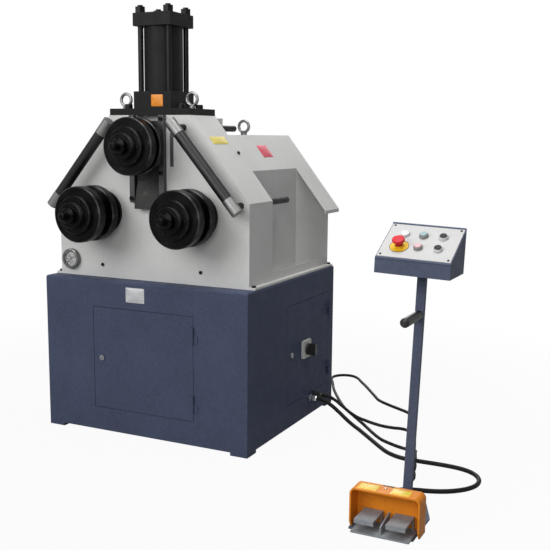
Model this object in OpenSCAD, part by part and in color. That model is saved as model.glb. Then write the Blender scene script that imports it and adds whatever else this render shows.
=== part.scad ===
// Hydraulic angle roll bender: a base cabinet, a house-shaped frame with two driven lower
// rolls, an upper roll on a hydraulic slide, a control stand and a foot switch.
// Lengths are millimetres, +Z is up and the rolls face -Y. The origin is on the floor, at
// the centre of the four anchor holes.

/* [Base cabinet] */
// Width of the cabinet
base_w = 916; // [900:2:980]
// Depth of the cabinet
base_d = 812; // [800:2:880]
// Height of the cabinet
base_h = 620; // [600:2:680]
// Thickness of the cabinet's sheet
base_sheet = 5; // [3:0.5:8]
// Thickness of the deck that carries the machine
deck_t = 12; // [10:1:20]
// Radius of the folds round the deck
fold_r = 9; // [4:1:12]
// Height of the corner feet
foot_h = 12; // [8:1:20]
// Length of each side of a corner foot
foot_l = 72; // [50:1:100]
// Radius of the anchor holes
anchor_r = 8; // [5:0.5:12]

/* [Doors] */
// Width of the front door
front_door_w = 454; // [420:2:500]
// Width of the side door
side_door_w = 417; // [380:1:440]
// Distance of the doors' upper edge below the deck's top
door_drop = 109; // [100:1:130]
// Height of the doors' lower edge above the floor
door_z = 107; // [98:1:120]
// Gap round a closed door
door_gap = 2; // [1:0.5:4]
// Thickness of a door's sheet
door_sheet = 2.5; // [1.5:0.5:4]
// Depth of a door's folded edge
door_fold = 18; // [14:1:24]
// Distance from the side door to the cabinet's back
side_door_inset = 55; // [40:1:70]
// Distance of the hinges from the door's ends
hinge_inset = 70; // [50:1:110]
// Length of a hinge
hinge_l = 62; // [50:2:80]
// Distance of a lock from the door's free edge
lock_inset = 39; // [32:1:60]
// Radius of a lock's face
lock_r = 11; // [10:0.5:14]
// Width of the main switch's plate
switch_w = 72; // [60:1:90]
// Distance of the main switch from the side door's hinge
switch_reach = 244; // [200:1:280]

/* [Front frame] */
// Width of the frame and the hood
body_w = 860; // [850:2:880]
// Distance of the frame's face behind the cabinet's front
frame_set = 65; // [50:1:80]
// Depth of the frame
frame_d = 190; // [185:1:230]
// Height of the shoulders above the deck
shoulder_h = 315; // [300:1:330]
// Height of the frame above the deck
frame_h = 633; // [625:1:680]
// Width of the frame's flat top
frame_top_w = 360; // [358:2:400]
// Thickness of the front plate
front_plate_t = 45; // [35:1:50]
// Thickness of the back plate
back_plate_t = 30; // [20:1:32]
// Thickness of the frame's other walls
frame_wall = 20; // [12:1:22]
// Width of the foot flange beside the frame and hood
flange_w = 25; // [20:1:27]
// Thickness of the foot flange
flange_t = 8; // [5:1:12]

/* [Hood] */
// Height of the hood above the deck
hood_h = 562; // [540:1:564]
// Distance of the hood's back from the cabinet's back
hood_inset = 7; // [2:1:20]
// Depth of the side recess
recess_depth = 87; // [80:1:95]
// Depth of the roof strip behind the recess
strip_d = 148; // [120:1:170]
// Overhang of the roof strip past the body's side
eave_out = 50; // [30:1:60]
// Thickness of the hood's sheet
hood_sheet = 3; // [2:0.5:5]
// Height of the sill that closes the foot of the recess
sill_h = 40; // [30:1:60]

/* [Slide] */
// Width of the slide
slide_w = 110; // [106:1:116]
// Height of the slide
slide_h = 203; // [180:1:204]
// Travel of the slide
slide_travel = 120; // [80:1:120]
// Width of a gib
gib_w = 22; // [18:1:26]
// Thickness of a gib
gib_t = 20; // [14:1:24]
// Length of a gib
gib_l = 330; // [300:1:333]

/* [Rolls] */
// Diameter of the roll discs
roll_d = 213; // [190:1:216]
// Distance between the lower roll axes
lower_pitch = 428; // [424:2:440]
// Height of the lower roll axes above the deck
lower_axis_h = 260; // [250:1:270]
// Distance of the upper roll's axis below the frame's top
upper_drop = 116; // [111:1:121]
// Distance of the lower rolls' faces ahead of the cabinet's front
lower_reach = 106; // [104:1:120]
// Distance of the upper roll's face ahead of the cabinet's front
upper_reach = 80; // [78:1:90]
// Thickness of a lower roll's front disc
lower_front_t = 42; // [34:1:44]
// Width of a lower roll's groove
lower_groove_w = 42; // [34:1:44]
// Thickness of a lower roll's back disc
lower_back_t = 36; // [28:1:38]
// Thickness of the upper roll's front disc
upper_front_t = 38; // [30:1:40]
// Width of the upper roll's groove
upper_groove_w = 22; // [16:1:26]
// Thickness of the upper roll's back disc
upper_back_t = 28; // [22:1:32]
// Diameter at the floor of a groove
groove_d = 150; // [130:1:170]
// Diameter of the roll shafts
shaft_d = 60; // [50:1:62]
// Diameter of the clamp ring in front of a roll
clamp_d = 143; // [130:1:160]
// Thickness of the clamp ring
clamp_t = 18; // [12:1:24]
// Diameter of the collar
collar_d = 97; // [80:1:110]
// Thickness of the collar
collar_t = 23; // [16:1:28]
// Diameter of the shaft nut
nut_d = 60; // [54:1:70]
// Thickness of the shaft nut
nut_t = 17; // [12:1:24]
// Diameter of a shaft's front end
end_d = 28; // [22:1:32]
// Length of a shaft's front end
end_l = 36; // [24:1:44]

/* [Guides] */
// Distance of the upper studs from the ends of the frame's flat top
guide_top_inset = 26; // [22:1:32]
// Distance of the upper studs below the frame's top
guide_top_drop = 46; // [41:1:49]
// Distance of the lower studs from the frame's sides
guide_low_inset = 35; // [30:1:40]
// Distance of the lower studs below the shoulders
guide_low_drop = 8; // [3:1:15]
// Distance of the guide bars ahead of the frame
guide_reach = 65; // [60:1:75]
// Diameter of a guide bar's end collars
guide_d = 44; // [38:1:48]
// Length of an end collar
guide_collar_l = 62; // [50:1:70]
// Diameter of the guide rollers
guide_roller_d = 42; // [36:1:44]
// Diameter of the guide studs
stud_d = 25; // [20:1:28]
// Length of a guide stud behind the bar
stud_l = 457; // [440:1:470]

/* [Cylinder] */
// Width of the cylinder plate
plate_w = 354; // [350:2:358]
// Depth of the cylinder plate
plate_d = 193; // [188:1:196]
// Thickness of the cylinder plate
plate_t = 25; // [20:1:32]
// Distance of the cylinder's axis behind the frame's face
cylinder_set = 108; // [103:1:110]
// Width of the cylinder's square flanges
cylinder_w = 166; // [160:1:168]
// Height of the cylinder's head
head_h = 65; // [50:1:80]
// Height of the cylinder's cap
cap_h = 48; // [40:1:60]
// Diameter of the cylinder's tube
tube_d = 148; // [140:1:152]
// Wall of the cylinder's tube
tube_wall = 12; // [8:1:14]
// Length of the cylinder's tube
tube_l = 242; // [230:1:280]
// Diameter of the piston rod
rod_d = 70; // [56:1:76]
// Diameter of the tie rods
tie_d = 21; // [18:1:22]
// Distance between tie rods
tie_pitch = 124; // [123:1:124]
// Width of a tie-rod nut across its flats
tie_nut_w = 36; // [30:1:36]
// Outer diameter of a lifting eye
eye_d = 58; // [50:1:62]
// Thickness of a lifting eye's ring
eye_t = 12; // [9:0.5:13]

/* [Control stand] */
// Distance of the post from the machine's middle
post_x = 1110; // [1100:1:1120]
// Distance of the post ahead of the cabinet's front
post_reach = 124; // [118:1:136]
// Lean of the post to the right, in degrees
post_lean = 2.1; // [0:0.1:4]
// Width of the post
post_w = 28; // [26:1:34]
// Depth of the post
post_d = 18; // [16:1:26]
// Length of the post
post_l = 767; // [720:1:820]
// Width of the stand's foot plate
stand_w = 204; // [190:1:220]
// Length of the stand's foot plate
stand_l = 295; // [285:1:310]
// Length of the foot plate's straight part, ahead of its taper
stand_straight = 173; // [150:1:200]
// Width of the foot plate's narrow end
stand_tail = 106; // [80:1:140]
// Thickness of the stand's foot plate
stand_t = 6; // [5:1:8]
// Diameter of the hand grip
grip_d = 30; // [26:1:34]
// Length of the hand grip
grip_l = 146; // [120:1:170]
// Height of the hand grip on the post
grip_z = 630; // [580:1:660]
// Width of the console
console_w = 236; // [226:1:256]
// Depth of the console
console_d = 160; // [154:1:176]
// Height of the console's front
console_front_h = 48; // [44:1:58]
// Height of the console's back
console_back_h = 138; // [128:1:148]
// Thickness of the console's sheet
console_sheet = 2; // [1.5:0.5:3]
// Diameter of a button's bezel
bezel_d = 29; // [27:0.5:32]
// Height of a button's bezel
bezel_h = 10; // [8:0.5:14]
// Travel of a button
button_travel = 4; // [2:0.5:5]
// Diameter of the emergency stop's head
estop_d = 40; // [36:1:44]

/* [Foot switch] */
// Width of the guard
guard_w = 220; // [210:1:226]
// Height of the guard
guard_h = 125; // [116:1:136]
// Depth of the guard
guard_d = 65; // [60:1:80]
// Thickness of the guard's wall
guard_t = 5; // [4:0.5:6]
// Radius of the guard's upper corners
guard_r = 18; // [10:1:24]
// Width of a pedal
pedal_w = 61; // [52:1:66]
// Length of a pedal
pedal_l = 94; // [80:1:96]
// Thickness of a pedal
pedal_t = 6; // [4:1:8]
// Height of a pedal's hinge above the foot plate
pedal_hinge_h = 34; // [30:1:40]

/* [Cables] */
// Diameter of the pedal's cable
pedal_cable_d = 16; // [12:0.5:17]
// Diameter of the control cables
control_cable_d = 13; // [9:0.5:13]

/* [Hidden] */

// Overrun of every cut past the faces that it opens
over = 1;
// Radial clearance of a shaft, pin or plunger in its hole
run_gap = 0.05;
// Clearance between flat faces that slide or swing past each other
slip_gap = 0.3;
// Segments of a turned surface
turn_fn = 96;

// Colours of the paint, metal and plastic
base_blue = [0.25, 0.28, 0.36];
body_grey = [0.72, 0.72, 0.71];
roll_black = [0.07, 0.07, 0.07];
steel_grey = [0.55, 0.55, 0.55];
bright_metal = [0.8, 0.8, 0.82];
guard_orange = [0.88, 0.55, 0.13];
pedal_grey = [0.45, 0.45, 0.45];
panel_white = [0.9, 0.9, 0.88];

// Planes and heights that the pieces share
front_y = -base_d / 2;
back_y = base_d / 2;
side_x = base_w / 2;
frame_y = front_y + frame_set;
frame_back_y = frame_y + frame_d;
frame_top_z = base_h + frame_h;
body_hw = body_w / 2;
frame_top_hw = frame_top_w / 2;
roof_slope = (frame_h - shoulder_h) / (body_hw - frame_top_hw);
roof_stretch = sqrt(1 + roof_slope * roof_slope);
cabinet_floor_z = foot_h + base_sheet;

// Height of both doors
door_h = base_h - door_drop - door_z;

// Hinges: pin, barrel and leaf, and how far a leaf is let into its sheet
hinge_pin_r = 3;
hinge_barrel_r = 5.5;
hinge_stand = 0.5;
leaf_w = 20;
leaf_t = 3;
leaf_sink = 0.5;
hinge_offset = hinge_barrel_r + hinge_stand;
hinge_mid = [door_z + hinge_inset, door_z + door_h - hinge_inset];
front_hinge_x = front_door_w / 2 + door_gap / 2;
side_hinge_y = back_y - side_door_inset + door_gap / 2;

// Locks: raised face, barrel and cam
lock_face_t = 5;
lock_barrel_r = 9;
lock_slot_w = 2;
lock_slot_depth = 3;
cam_w = 16;
cam_t = 4;
cam_l = 48;
door_mid_z = door_z + door_h / 2;

// Main switch: plate, body behind the door, shaft and knob
switch_plate_t = 12;
switch_neck_r = 15;
switch_body_w = 50;
switch_body_l = 46;
switch_shaft_r = 5;
switch_shaft_l = 22;
knob_r = 24;
knob_base_t = 12;
knob_bar_w = 16;
knob_bar_l = 26;

// Slide: slot in the front plate, shoulders behind it and the apron under it
slot_w = slide_w + 2 * slip_gap;
slide_proud = 0.5;
slide_top_gap = 3;
slide_top_z = frame_top_z - frame_wall - slide_top_gap;
slide_z = slide_top_z - slide_h;
gib_z = frame_top_z - slip_gap - gib_l;
slot_foot_gap = 2;
slot_z = slide_z - slide_travel - slot_foot_gap;
shoulder_w = 20;
slide_back_gap = 10;
slide_back_y = frame_back_y - back_plate_t - slide_back_gap;
apron_w = 100;
apron_t = 5;
apron_lap = 33;
apron_straight = 22;
apron_drop = 105;
apron_flare = 25;
apron_sink = 2;

// Rolls: places along the shafts
shaft_r = shaft_d / 2;
roll_bore_r = shaft_r + run_gap;
roll_chamfer = 4;
thread_r = 22;
stack_l = clamp_t + collar_t + nut_t + end_l;
lower_face_y = front_y - lower_reach;
upper_face_y = front_y - upper_reach;
lower_axis_z = base_h + lower_axis_h;
upper_axis_z = frame_top_z - upper_drop;
lower_axis_x = lower_pitch / 2;
lower_roll_w = lower_front_t + lower_groove_w + lower_back_t;
upper_roll_w = upper_front_t + upper_groove_w + upper_back_t;
motor_stub_r = 20;
motor_stub_l = 44;
clamp_screw_count = 6;
clamp_screw_r = 5;
clamp_screw_h = 3;
clamp_screw_share = 0.84;
clamp_screw_circle = clamp_screw_share * clamp_d / 2;
nut_notch_count = 4;
nut_notch_w = 8;
nut_notch_depth = 4;

// Bearings and drive motors
bearing_gap = 6;
bearing_hub_r = 65;
bearing_flange_r = 85;
bearing_flange_t = 12;
bearing_sleeve_r = 55;
back_sleeve_r = 45;
upper_bearing_inset = 3;
upper_bearing_r = slide_w / 2 - upper_bearing_inset;
motor_flange_w = 120;
motor_flange_t = 14;
motor_body_r = 50;
motor_body_l = 130;
motor_rib_r = 46;
motor_port_w = 40;
motor_port_h = 22;

// Guides: places of the studs, lean of the bars, core bar, stud bush and chamfer
guide_top_x = frame_top_hw - guide_top_inset;
guide_top_h = frame_h - guide_top_drop;
guide_low_x = body_hw - guide_low_inset;
guide_low_h = shoulder_h - guide_low_drop;
guide_dx = guide_low_x - guide_top_x;
guide_dz = guide_top_h - guide_low_h;
guide_span = sqrt(guide_dx * guide_dx + guide_dz * guide_dz);
guide_lean = atan2(guide_dx, guide_dz);
guide_y = frame_y - guide_reach;
guide_core_r = 12;
stud_r = stud_d / 2;
stud_chamfer = 4;
bush_w = 50;
bush_l = 60;
bush_top_gap = 8;

// Screws: head radius, head height, shank radius and shank length
gib_screw = [8, 9, 5, 40];
face_screw = [6.5, 6, 4, 16];
plate_screw = [15, 18, 10, 42];
flange_screw = [8, 7, 5, 14];
panel_screw = [3.5, 2, 2, 3];
socket_share = 0.55;
head_chamfer_share = 0.15;
gib_screw_shares = [0.05, 0.35, 0.66, 0.96];
face_screw_inset = 205;
face_screw_x = body_hw - face_screw_inset;
face_screw_h = 50;
plate_screw_x = 118;
plate_screw_y = 66;
flange_screw_inset = 14;
slope_screw_share = 0.44;
slope_screw_x = frame_top_hw + slope_screw_share * (body_hw - frame_top_hw);
slope_screw_inset = 17;

// Cylinder stack
plate_top_z = frame_top_z + plate_t;
head_top_z = plate_top_z + head_h;
tube_top_z = head_top_z + tube_l;
cap_top_z = tube_top_z + cap_h;
cylinder_y = frame_y + cylinder_set;
rod_r = rod_d / 2;
tube_r = tube_d / 2;
bore_r = tube_r - tube_wall;
piston_t = 40;
piston_gap = 20;
tie_nut_h = 23;
tie_stub_l = 6;
port_r = 12;
port_h = 8;

// Lifting eyes: two on the cylinder plate and two on the hood
eye_collar_r = 13;
eye_collar_h = 9;
eye_sink = 3;
eye_shank_r = 6;
eye_shank_l = 20;
front_eye_x = 149;
front_eye_inset = 70;
front_eye_y = frame_y + front_eye_inset;
back_eye_x = 150;
back_eye_set = 548;
back_eye_y = front_y + back_eye_set;
rib_w = 50;
rib_t = 22;

// Hood: planes, roof edges and louvres
hood_y = frame_back_y;
hood_back_y = back_y - hood_inset;
hood_d = hood_back_y - hood_y;
strip_y = hood_back_y - strip_d;
hood_top_z = base_h + hood_h;
hood_top_hw = frame_top_hw + (frame_h - hood_h) / roof_slope;
bush_z = hood_top_z + slip_gap;
recess_x = body_hw - recess_depth;
eave_x = body_hw + eave_out;
eave_lip = 14;
louvre_count = 9;
louvre_w = 220;
louvre_h = 8;
louvre_step = 24;
louvre_rise = 160;
louvre_z = base_h + louvre_rise;

// Gauge: rim, dial and needle
gauge_inset = 56;
gauge_x = gauge_inset - body_hw;
gauge_h = 65;
gauge_r = 36;
gauge_depth = 18;
gauge_rim = 6;
dial_depth = 9;
needle_post_r = 1.5;
needle_hub_r = 4;
needle_l = 25;
needle_tail = 9;
needle_w = 2.4;
needle_t = 1.6;
needle_rest = 230;

// Oil tank, pump motor and electrical plate in the cabinet
tank_w = 360;
tank_d = 430;
tank_wall = 4;
tank_side_gap = 10;
tank_front_gap = 90;
motor_r = 75;
motor_h = 210;
motor_head_gap = 79;
motor_foot_r = 100;
motor_foot_t = 12;
tank_h = base_h - deck_t - cabinet_floor_z - motor_foot_t - motor_h - motor_head_gap;
motor_fin_count = 8;
motor_fin_r = 82;
motor_fin_t = 4;
motor_fin_step = 20;
motor_box_w = 70;
motor_box_d = 40;
motor_box_h = 60;
wiring_w = 320;
wiring_h = 340;
wiring_t = 4;
wiring_stand = 12;
wiring_x = 90;
wiring_z = 150;
rail_t = 8;
rail_h = 35;
module_w = 46;
module_d = 60;
module_h = 80;
module_count = 5;
rail_shares = [0.22, 0.68];

// Control stand and console
post_y = front_y - post_reach;
post_wall = 2.5;
post_sink = stand_t / 2;
stand_x = 1010;
stand_reach = 389;
stand_y = front_y - stand_reach;
grip_round = 9;
grip_stem_r = 6;
grip_stem_l = 8;
console_back = 39;
panel_tilt = atan2(console_back_h - console_front_h, console_d);
panel_run = console_d / cos(panel_tilt);
panel_t = 2;
panel_rim = 6;
panel_side_rim = 3;
panel_w = console_w - 2 * panel_side_rim;
panel_l = panel_run - 2 * panel_rim;
column_shares = [0.24, 0.5, 0.77];
row_shares = [0.32, 0.68];
panel_screw_inset = 9;
button_r = 11;
button_hole_gap = 0.2;
button_hole_r = button_r + button_hole_gap;
bezel_chamfer = 1;
button_stem_l = 20;
button_rise = 3;
lamp_r = 13;
lamp_h = 15;
estop_plate_r = 30;
estop_plate_t = 1.5;
estop_neck_l = 14;
estop_head_h = 16;
estop_taper = 5;
estop_travel = 6;

// Foot switch
guard_x = 1120;
guard_set = 3;
guard_y = stand_y + guard_set;
guard_back_y = guard_y + guard_d;
guard_toe = 10;
tread_w = 182;
tread_front = 37;
tread_t = 6;
tread_l = guard_d - guard_t - slip_gap + tread_front;
fin_t = 5;
fin_h = 47;
fin_front_h = 31;
fin_l = 82;
fin_back = 6;
pedal_pitch = 99;
pedal_hinge_inset = 15;
pedal_hinge_y = guard_back_y - pedal_hinge_inset;
pedal_barrel_r = 6;
pedal_pin_r = 3;
pedal_ear_t = 5;
pedal_lip = 8;

// Glands: nut, dome and places
gland_nut_r = 12;
gland_nut_l = 12;
gland_r = 10;
gland_l = 28;
gland_z = 90;
pedal_gland_set = 555;
pedal_gland_y = front_y + pedal_gland_set;
control_gland_set = 609;
control_gland_y = front_y + control_gland_set;
grommet_r = 9;
grommet_l = 8;
grommet_heights = [100, 70, 130];
pedal_gland_x = 1055;
pedal_gland_z = 45;

// Routes of the cables, from the machine's glands to the stand and the foot switch
cable_lead = 40;
gland_tip_x = side_x + gland_nut_l + gland_l;
post_back_y = post_y + post_d / 2 + grommet_l;
pedal_tip_y = guard_back_y + gland_nut_l + gland_l;
function grommet_x(z) = post_x + z * tan(post_lean);
pedal_route = [[gland_tip_x, pedal_gland_y, gland_z], [530, 151, 84], [562, 155, 66],
  [594, 156, 43], [632, 144, 21], [672, 115, 11], [715, 75, 9], [795, -10, 8], [850, -70, 8], [900, -120, 8],
  [950, -150, 8], [1000, -160, 8], [1095, -158, 8], [1150, -159, 8], [1197, -166, 8],
  [1236, -184, 8], [1264, -213, 8], [1280, -252, 8], [1280, -296, 8], [1262, -338, 8], [1231, -373, 8],
  [1195, -398, 8], [1155, -415, 8], [1110, -430, 9], [1080, -450, 12], [1060, -480, 17],
  [1050, -525, 23], [1050, -580, 33],
  [pedal_gland_x, pedal_tip_y + cable_lead, pedal_gland_z],
  [pedal_gland_x, pedal_tip_y, pedal_gland_z]];
control_route = [[gland_tip_x, control_gland_y, gland_z], [525, 205, 87], [555, 208, 75],
  [588, 206, 55], [628, 194, 36], [670, 174, 26], [710, 160, 22], [750, 155, 16],
  [790, 155, 11], [835, 150, 12], [870, 140, 17], [905, 115, 23], [935, 70, 28],
  [960, -15, 33], [1000, -150, 47], [1040, -275, 70], [1075, -360, 88],
  [1101, -425, 97],
  [grommet_x(grommet_heights[0]), post_back_y + cable_lead, grommet_heights[0]],
  [grommet_x(grommet_heights[0]), post_back_y, grommet_heights[0]]];
loop_route = [[grommet_x(grommet_heights[2]), post_back_y, grommet_heights[2]],
  [grommet_x(grommet_heights[2]), post_back_y + cable_lead, grommet_heights[2]],
  [1101, -425, 126], [1080, -355, 112], [1056, -270, 84], [1014, -145, 44], [974, -10, 16], [938, 105, 8],
  [860, 330, 7], [825, 385, 7], [775, 420, 7], [725, 450, 7], [650, 505, 7], [610, 560, 7],
  [510, 705, 7], [470, 758, 7], [429, 814, 7], [387, 841, 7], [341, 831, 7], [315, 793, 7],
  [320, 747, 7], [350, 685, 7], [412, 556, 7], [545, 340, 7], [625, 245, 7], [695, 165, 7], [825, 15, 7],
  [890, -30, 8], [935, -60, 12], [965, -90, 20], [985, -135, 29], [1000, -190, 38],
  [1030, -275, 51], [1066, -360, 62], [1098, -425, 68],
  [grommet_x(grommet_heights[1]), post_back_y + cable_lead, grommet_heights[1]],
  [grommet_x(grommet_heights[1]), post_back_y, grommet_heights[1]]];
cable_sides = 8;

// Outline of the frame in X and Z, drawn in by an inset
function house_points(inset) =
  let (hw = body_hw - inset,
    drop = inset * roof_stretch,
    top_hw = frame_top_hw + (inset - drop) / roof_slope,
    shoulder = frame_top_z - (hw - frame_top_hw) * roof_slope - drop)
  [[-hw, base_h + inset], [hw, base_h + inset], [hw, shoulder],
    [top_hw, frame_top_z - inset], [-top_hw, frame_top_z - inset], [-hw, shoulder]];

// Height of the roof's outer face at a distance from the middle
function roof_z(x) = frame_top_z - (x - frame_top_hw) * roof_slope;

// Outline of the hood in X and Z, drawn in by an inset and open at a foot height
function hood_points(inset, foot) =
  let (drop = inset * roof_stretch,
    top_hw = hood_top_hw + (inset - drop) / roof_slope,
    eave = roof_z(body_hw) - drop)
  [[-body_hw, foot], [body_hw, foot], [body_hw, eave], [top_hw, hood_top_z - inset],
    [-top_hw, hood_top_z - inset], [-body_hw, eave]];

// Plan of the hood's walls, drawn in by an inset and begun at a front plane
function hood_plan(inset, front) =
  let (wall_x = recess_x - inset,
    slant = sqrt(recess_depth * recess_depth + strip_d * strip_d),
    bend_y = strip_y + inset * (slant - strip_d) / recess_depth,
    back = hood_back_y - inset,
    corner_x = recess_x + (recess_depth * (back - strip_y) - inset * slant) / strip_d)
  [[-wall_x, front], [wall_x, front], [wall_x, bend_y], [corner_x, back],
    [-corner_x, back], [-wall_x, bend_y]];

// Outline of a ring as radius and distance, with chamfered rims
function ring_points(bore, r, t, chamfer) =
  [[bore, 0], [r - chamfer, 0], [r, chamfer], [r, t - chamfer], [r - chamfer, t], [bore, t]];

// Outline of a roll shaft: front end, thread, seat and stub, from the roll's face
function shaft_points(seat_l, stub_r, stub_l) =
  let (tip = -stack_l,
    shoulder = -(clamp_t + collar_t + nut_t),
    seat = -(clamp_t + collar_t),
    chamfer = stud_chamfer)
  [[0, tip], [end_d / 2 - chamfer, tip], [end_d / 2, tip + chamfer], [end_d / 2, shoulder],
    [thread_r, shoulder], [thread_r, seat], [shaft_r, seat], [shaft_r, seat_l],
    [stub_r, seat_l], [stub_r, seat_l + stub_l], [0, seat_l + stub_l]];

function unit(v) = v / norm(v);

// Direction of a cable at one of its rings, square to the glands at both ends
function ring_direction(route, i, first, last) =
  i == 0 ? first : i == len(route) - 1 ? last : unit(route[i + 1] - route[i - 1]);

// Extrudes an outline drawn in X and Z along Y
module along_y(y, depth) {
  translate([0, y + depth, 0])
    rotate([90, 0, 0])
      linear_extrude(depth)
        children();
}

// Extrudes an outline drawn in Y and Z along X
module along_x(x, width) {
  translate([x, 0, 0])
    rotate([90, 0, 90])
      linear_extrude(width)
        children();
}

// Turns an outline of radius and distance about +Y
module turned_y(points) {
  rotate([-90, 0, 0])
    rotate_extrude($fn = turn_fn)
      polygon(points);
}

// Turns an outline of radius and distance about +Z
module turned_z(points) {
  rotate_extrude($fn = turn_fn)
    polygon(points);
}

// A round bar or hole along +Y, lengthened by an overrun at both ends
module round_y(r, y, length, extra = 0) {
  translate([0, y - extra, 0])
    rotate([-90, 0, 0])
      cylinder(r = r, h = length + 2 * extra, $fn = turn_fn);
}

// A round bar or hole along +Z, lengthened by an overrun at both ends
module round_z(r, length, extra = 0) {
  translate([0, 0, -extra])
    cylinder(r = r, h = length + 2 * extra, $fn = turn_fn);
}

module both_sides() {
  children();
  mirror([1, 0, 0])
    children();
}

// A socket screw whose shank points along +Z and whose head stands below it
module socket_screw(size) {
  head_r = size[0];
  head_h = size[1];
  chamfer = head_r * head_chamfer_share;
  difference() {
    turned_z([[0, -head_h], [head_r - chamfer, -head_h], [head_r, chamfer - head_h],
      [head_r, 0], [size[2], 0], [size[2], size[3]], [0, size[3]]]);
    translate([0, 0, -head_h - over])
      cylinder(r = head_r * socket_share, h = head_h * socket_share + over, $fn = 6);
  }
}

// The hole that a socket screw's shank fills
module screw_hole(size) {
  translate([0, 0, -over])
    cylinder(r = size[2] + run_gap, h = size[3] + over + run_gap, $fn = turn_fn);
}

// Places of the screws, each with +Z pointing into the metal
module gib_screw_places() {
  for (side = [-1, 1], share = gib_screw_shares)
    translate([side * (slot_w / 2 + gib_w / 2), frame_y - gib_t, gib_z + share * gib_l])
      rotate([-90, 0, 0])
        children();
}

module face_screw_places() {
  for (side = [-1, 1])
    translate([side * face_screw_x, frame_y, base_h + face_screw_h])
      rotate([-90, 0, 0])
        children();
}

module plate_screw_places() {
  for (x = [-1, 1], y = [-1, 1])
    translate([x * plate_screw_x, cylinder_y + y * plate_screw_y, plate_top_z])
      rotate([180, 0, 0])
        children();
}

module flange_screw_places() {
  for (side = [-1, 1], y = [frame_y + flange_screw_inset, hood_back_y - flange_screw_inset])
    translate([side * (body_hw + flange_w / 2), y, base_h + flange_t])
      rotate([180, 0, 0])
        children();
}

module slope_screw_places() {
  for (side = [0, 1])
    mirror([side, 0, 0])
      translate([slope_screw_x, frame_back_y - slope_screw_inset, roof_z(slope_screw_x)])
        rotate([0, 180 + atan(roof_slope), 0])
          children();
}

module eye_places() {
  for (side = [-1, 1]) {
    translate([side * front_eye_x, front_eye_y, plate_top_z])
      children();
    translate([side * back_eye_x, back_eye_y, hood_top_z])
      children();
  }
}

// Frames of the two doors: the hinge axis is the origin and the door runs along -X
module front_door_place() {
  translate([front_hinge_x, front_y - hinge_offset, 0])
    children();
}

module side_door_place() {
  translate([side_x + hinge_offset, side_hinge_y, 0])
    rotate([0, 0, 90])
      children();
}

// Frames of the leaning post, of the console on it and of the sloping panel
module on_stand() {
  translate([post_x, post_y, 0])
    rotate([0, post_lean, 0])
      children();
}

module on_console() {
  on_stand()
    translate([0, console_back - console_d, post_l])
      children();
}

module on_panel() {
  on_console()
    translate([0, 0, console_front_h])
      rotate([panel_tilt, 0, 0])
        translate([-panel_w / 2, panel_rim, 0])
          children();
}

// Place of a button in the panel's grid, on the panel's face
module at_button(column, row) {
  on_panel()
    translate([column_shares[column] * panel_w, row_shares[row] * panel_l, panel_t])
      children();
}

// One knuckle of a hinge with its leaf, on the side that a sign gives
module hinge_knuckle(side, z, length) {
  translate([0, 0, z]) {
    difference() {
      union() {
        cylinder(r = hinge_barrel_r, h = length, $fn = turn_fn);
        translate([side < 0 ? -leaf_w : door_gap, hinge_offset - leaf_t, 0])
          cube([leaf_w - door_gap, leaf_t + leaf_sink, length]);
        translate([side < 0 ? -hinge_barrel_r : 0, 0, 0])
          cube([hinge_barrel_r, hinge_offset, length]);
      }
      round_z(hinge_pin_r + run_gap, length, over);
    }
  }
}

module door_panel(width) {
  edge = door_gap / 2;
  difference() {
    union() {
      difference() {
        translate([-width - edge, hinge_offset, door_z])
          cube([width, door_fold, door_h]);
        translate([door_sheet - width - edge, hinge_offset + door_sheet, door_z + door_sheet])
          cube([width - 2 * door_sheet, door_fold, door_h - 2 * door_sheet]);
      }
      for (mid = hinge_mid)
        hinge_knuckle(-1, mid + slip_gap, hinge_l / 2 - slip_gap);
    }
    translate([lock_inset - width - edge, hinge_offset, door_mid_z])
      round_y(lock_barrel_r + run_gap, 0, door_sheet, over);
  }
}

// A cam lock in its door's frame, with its cam hanging down
module cam_lock(width) {
  cam_y = door_fold + slip_gap;
  translate([lock_inset - width - door_gap / 2, hinge_offset, door_mid_z]) {
    difference() {
      turned_y([[0, -lock_face_t], [lock_r, -lock_face_t], [lock_r, 0], [lock_barrel_r, 0],
        [lock_barrel_r, cam_y + cam_t], [0, cam_y + cam_t]]);
      translate([-lock_slot_w / 2, -lock_face_t - over, -lock_r / 2])
        cube([lock_slot_w, lock_slot_depth + over, lock_r]);
    }
    translate([-cam_w / 2, cam_y, -cam_l])
      cube([cam_w, cam_t, cam_l]);
  }
}

// The front disc and the grooved back disc of a roll, from its face
module roll_discs(front_t, groove_w, back_t) {
  turned_y(ring_points(roll_bore_r, roll_d / 2, front_t, roll_chamfer));
  groove_y = front_t + run_gap;
  disc_y = front_t + groove_w;
  end_y = disc_y + back_t;
  r = roll_d / 2;
  turned_y([[roll_bore_r, groove_y], [groove_d / 2, groove_y], [groove_d / 2, disc_y],
    [r - roll_chamfer, disc_y], [r, disc_y + roll_chamfer], [r, end_y - roll_chamfer],
    [r - roll_chamfer, end_y], [roll_bore_r, end_y]]);
}

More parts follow.
